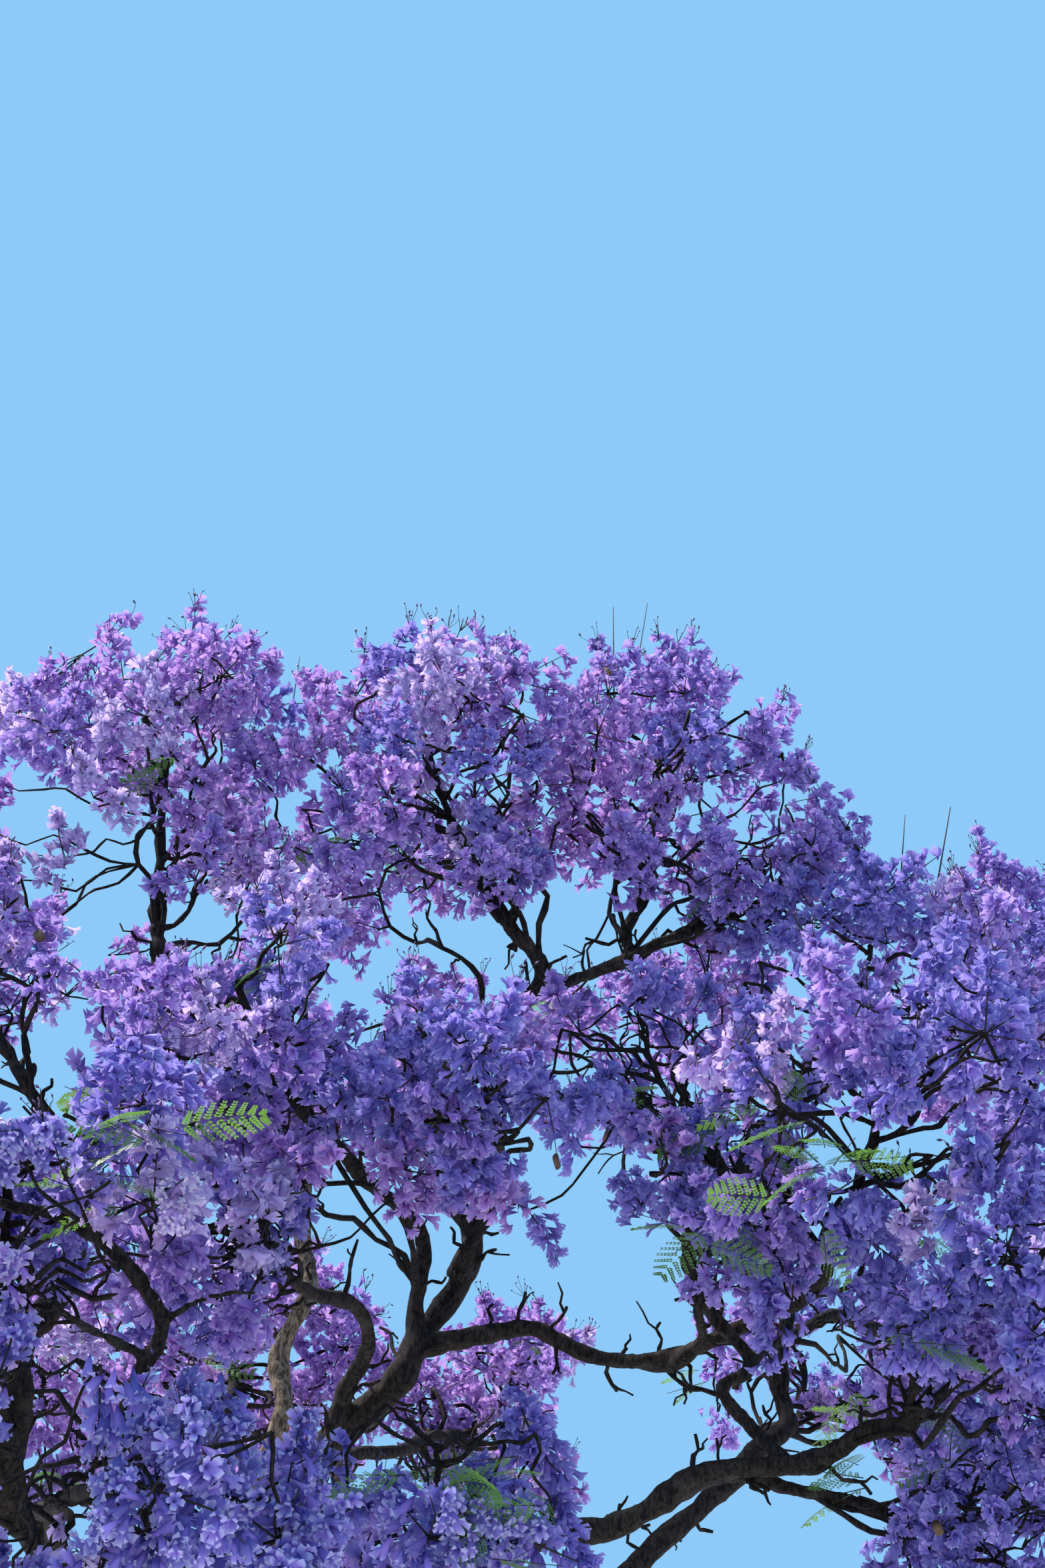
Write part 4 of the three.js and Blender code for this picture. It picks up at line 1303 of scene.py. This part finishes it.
def grow_flowers(chosen, flowers, smallest, largest):
    """Flowers round the axes of the chosen panicles, more of them on the outer side."""
    count = len(chosen) * flowers
    owner = np.repeat(chosen, flowers)
    axis = axes[owner]
    level = rng.beta(1.1, 1.5, count)
    around = unit(crosswise(axis, count) + 0.35 * ways[owner])
    width = PANICLE_WIDTH * reach[owner] * (1 - PANICLE_TAPER * level) * rng.uniform(0.5, 1.1, count)
    mouths = centres[owner] + axis * ((level - PANICLE_MIDDLE) * PANICLE_LENGTH * reach[owner])[:, None]
    mouths = mouths + around * width[:, None]
    droop = -0.5 * closeness[owner][:, None] * UP - 0.3 * UP
    headings = unit(around + 0.3 * axis + droop + 0.42 * rng.normal(size=(count, 3)))
    length = lerp(smallest, largest, closeness[owner]) * rng.uniform(0.8, 1.15, count)
    wide = lerp(1.05, 0.84, closeness[owner])
    across = [length * wide * rng.uniform(0.75, 1.05, count), length * wide * rng.uniform(0.7, 1.0, count)]
    return mouths - headings * (0.75 * length)[:, None], headings, np.stack([*across, length], 1)


# Flowers by how close they stand: their shape, their panicles, and how many and how long
FAR = flower_shape()
TIERS = {
    "back": (FAR, ~seen, OUT_OF_SIGHT),
    "far": (FAR, seen & (closeness < MID_FROM), IN_SIGHT),
    "mid": (flower_shape(waist=True), seen & (closeness >= MID_FROM) & (closeness < NEAR_FROM), IN_SIGHT),
    "near": (flower_shape(waist=True, curled=True), seen & (closeness >= NEAR_FROM), IN_SIGHT),
}
for tint, material in PETAL_FINISHES.items():
    for label, ((shape_corners, shape_faces, chart), mask, (flowers, *lengths)) in TIERS.items():
        chosen = np.where((tints == tint) & mask)[0]
        per_piece = MOST_TRIANGLES // (flowers * len(shape_faces))
        for part, start in enumerate(range(0, len(chosen), per_piece), 1):
            bases, headings, sizes = grow_flowers(chosen[start:start + per_piece], flowers, *lengths)
            corners, faces = copies((shape_corners, shape_faces), bases, headings, sizes)
            shades = rng.random(len(bases))
            table = np.stack([np.repeat(shades, len(chart)), np.tile(chart, len(bases))], 1)
            name = "flowers_%s_%s_%d" % (tint, label, part)
            new_piece(name, corners, faces, material, "blossom", MASS_NODES, smooth=True, chart=table)


def bud_shape():
    """A bud with four sides, thickest a little over its middle."""
    corners = [(0, 0, 0), (0.3, 0, 0.55), (0, 0.3, 0.55), (-0.3, 0, 0.55), (0, -0.3, 0.55), (0, 0, 1)]
    faces = [(0, 2, 1), (0, 3, 2), (0, 4, 3), (0, 1, 4), (5, 1, 2), (5, 2, 3), (5, 3, 4), (5, 4, 1)]
    return np.array(corners), np.array(faces)


# Buds at the tips of the panicles that look up and have nothing over them
above = open_ways(centres, np.broadcast_to(UP, centres.shape))
owner = np.repeat(np.where(above & (ways[:, 2] > 0.35))[0], BUDS)
sprig = axes[owner] + 0.5 * UP
foot = centres[owner] + axes[owner] * (PANICLE_MIDDLE * PANICLE_LENGTH * reach[owner])[:, None]
tips = foot + unit(sprig + 0.55 * rng.normal(size=foot.shape)) * rng.uniform(0.03, 0.1, len(foot))[:, None]
headings = unit(sprig + 0.6 * rng.normal(size=tips.shape))
sizes = rng.uniform(*BUD_LENGTHS, len(tips))[:, None] * np.array([0.62, 0.62, 1.0])
new_piece("buds", *copies(bud_shape(), tips, headings, sizes), BUD, "blossom", MASS_NODES)
add_branches(np.stack([foot, tips], 1), BUD_STALK, 3, twigs)


def leaf_shape():
    """A leaf as long as 1: side shoots in pairs, with two rows of leaflets on each."""
    corners, faces = [], []

    def blade(start, way, across, length, width):
        base = len(corners)
        middle = start + way * length * 0.5
        corners.extend([start, middle + across * width, start + way * length, middle - across * width])
        faces.extend([(base, base + 1, base + 2), (base, base + 2, base + 3)])

    for k in range(LEAF_SHOOTS):
        share = (k + 1) / (LEAF_SHOOTS + 0.5)
        spot = np.array([share, 0.0, -0.28 * share**2])
        shoot = 0.32 * math.sin(math.pi * (0.18 + 0.74 * share))
        for side in (-1, 1):
            way = unit(np.array([0.55, side, -0.25 - 0.2 * share]))
            across = unit(np.array([1.0, -0.55 * side, 0.0]))
            blade(spot, way, across, shoot, SHOOT_WIDTH)
            for j in range(LEAFLETS):
                part = (j + 0.7) / LEAFLETS
                foot = spot + way * shoot * part
                for turn in (-1, 1):
                    lean = unit(across * turn + way * 0.55)
                    blade(foot, lean, way, LEAFLET_LENGTH * (1.1 - 0.5 * part), LEAFLET_WIDTH)
    return np.array(corners), np.array(faces)


def leafy_spots():
    """Places for leaves: in front of the blossom where the photo shows them, and a few all round."""
    places, headings = [], []
    sight = centres - LOOKOUT * METRES
    distance = np.linalg.norm(sight, axis=1)
    for turn, lift, number in LEAFY:
        aim = aim_of(math.radians(turn), math.radians(lift))
        near = sight @ aim / distance > math.cos(math.radians(LEAFY_HALF))
        if near.any():
            spot = LOOKOUT * METRES + aim * (distance[near].min() - LEAVES_IN_FRONT)
            for _ in range(number):
                places.append(spot + rng.normal(size=3) * 0.05)
                headings.append(unit(rng.normal(size=3) * np.array([1, 0.5, 0.35]) - 0.15 * aim))
    for index in np.where((light > LEAFY_LIT_SIDES) & (centres[:, 2] < LEAVES_BELOW))[0]:
        if rng.random() < LEAFY_SHARE:
            for _ in range(2):
                places.append(lerp(hearts[index], centres[index], 0.6))
                headings.append(unit(ways[index] + 0.5 * rng.normal(size=3)))
    return np.array(places), np.array(headings)


def leaves(places, onward):
    """Leaves that set out along given level ways, each a little rolled."""
    corners, faces = leaf_shape()
    y = unit(np.cross(UP + 0.45 * rng.normal(size=onward.shape), onward))
    basis = np.stack([onward, y, np.cross(onward, y)], 2)
    lengths = rng.uniform(*LEAF_LENGTHS, len(places))
    moved = places[:, None] + lengths[:, None, None] * np.einsum("nij,vj->nvi", basis, corners)
    return spread_out(moved, faces)


def pod_shape():
    """A flat round pod with a wavy rim and a bulge on each side."""
    turn = 2 * math.pi * np.arange(POD_SIDES) / POD_SIDES
    rim = np.stack([0.42 * np.cos(turn), 0.05 * np.sin(3 * turn), 0.5 + 0.5 * np.sin(turn)], 1)
    corners = np.concatenate([rim, [(0, 0.11, 0.5), (0, -0.11, 0.5)]])
    faces = []
    for k in range(POD_SIDES):
        n = (k + 1) % POD_SIDES
        faces += [(n, k, POD_SIDES), (k, n, POD_SIDES + 1)]
    return corners, np.array(faces)


leaf_places, leaf_ways = leafy_spots()
hung = rng.choice(np.where(seen & (ways[:, 2] < 0))[0], PODS, replace=False)
ends = centres[hung] + ways[hung] * 0.1
pods = copies(pod_shape(), ends, 0.3 * ways[hung] - UP, np.full((PODS, 3), POD_LENGTH))
new_piece("pods", *pods, POD, "blossom", MASS_NODES, smooth=True)
add_branches(wandering(hearts[hung], ends, rows=4, wander=0.1, kink=0.004), POD_STALK, 3, twigs)

onward = unit(leaf_ways * np.array([1, 1, 0.4]))
new_piece("leaves", *leaves(leaf_places, onward), LEAF, "blossom", MASS_NODES)
add_branches(np.array(STALKS) * METRES, DEAD_STALK, 4, twigs)
add_branches(wandering(leaf_places, leaf_places + onward * 0.2, rows=3, wander=0), LEAF_STALK, 3, twigs)

for name, parts, material in (("branches", branches, BRANCH_BARK), ("twigs", twigs, TWIG)):
    corners, faces = joined(parts)
    for part, start in enumerate(range(0, len(faces), MOST_TRIANGLES), 1):
        used, renumbered = np.unique(faces[start:start + MOST_TRIANGLES], return_inverse=True)
        new_piece("%s_%d" % (name, part), corners[used], renumbered.reshape(-1, 3), material, "bark",
                  MASS_NODES, smooth=name == "branches")


# Floor, light and camera
bpy.ops.mesh.primitive_circle_add(vertices=96, radius=FLOOR_RADIUS, fill_type="NGON", location=(0, 0, 0))
floor = bpy.context.object
floor.name = "floor"
floor_finish = Finish("floor_pale")
floor.data.materials.append(floor_finish.surface(floor_finish.body(FLOOR_TINT, 0.9)))

scene = bpy.context.scene
scene.world = bpy.data.worlds.new("pale_light")
scene.world.use_nodes = True
backdrop = scene.world.node_tree.nodes["Background"]
backdrop.inputs["Color"].default_value = SKY_BLUE
backdrop.inputs["Strength"].default_value = 1.0

sun = bpy.data.lights.new("soft_sun", "SUN")
sun.energy = SUN_STRENGTH
sun.angle = math.radians(SUN_WIDTH)
sun.color = SUN_TINT
sun_holder = bpy.data.objects.new("soft_sun", sun)
sun_holder.rotation_euler = (*np.radians(SUN_TURN), 0)
scene.collection.objects.link(sun_holder)

view = bpy.data.cameras.new("view")
view.lens = 50
view.sensor_width = 36
view.clip_end = 200
camera = bpy.data.objects.new("view", view)
camera.location = LOOKOUT * METRES
camera.rotation_euler = (math.radians(90 + CAMERA_LIFT), 0, 0)
scene.collection.objects.link(camera)
scene.camera = camera

scene.view_settings.view_transform = "Standard"
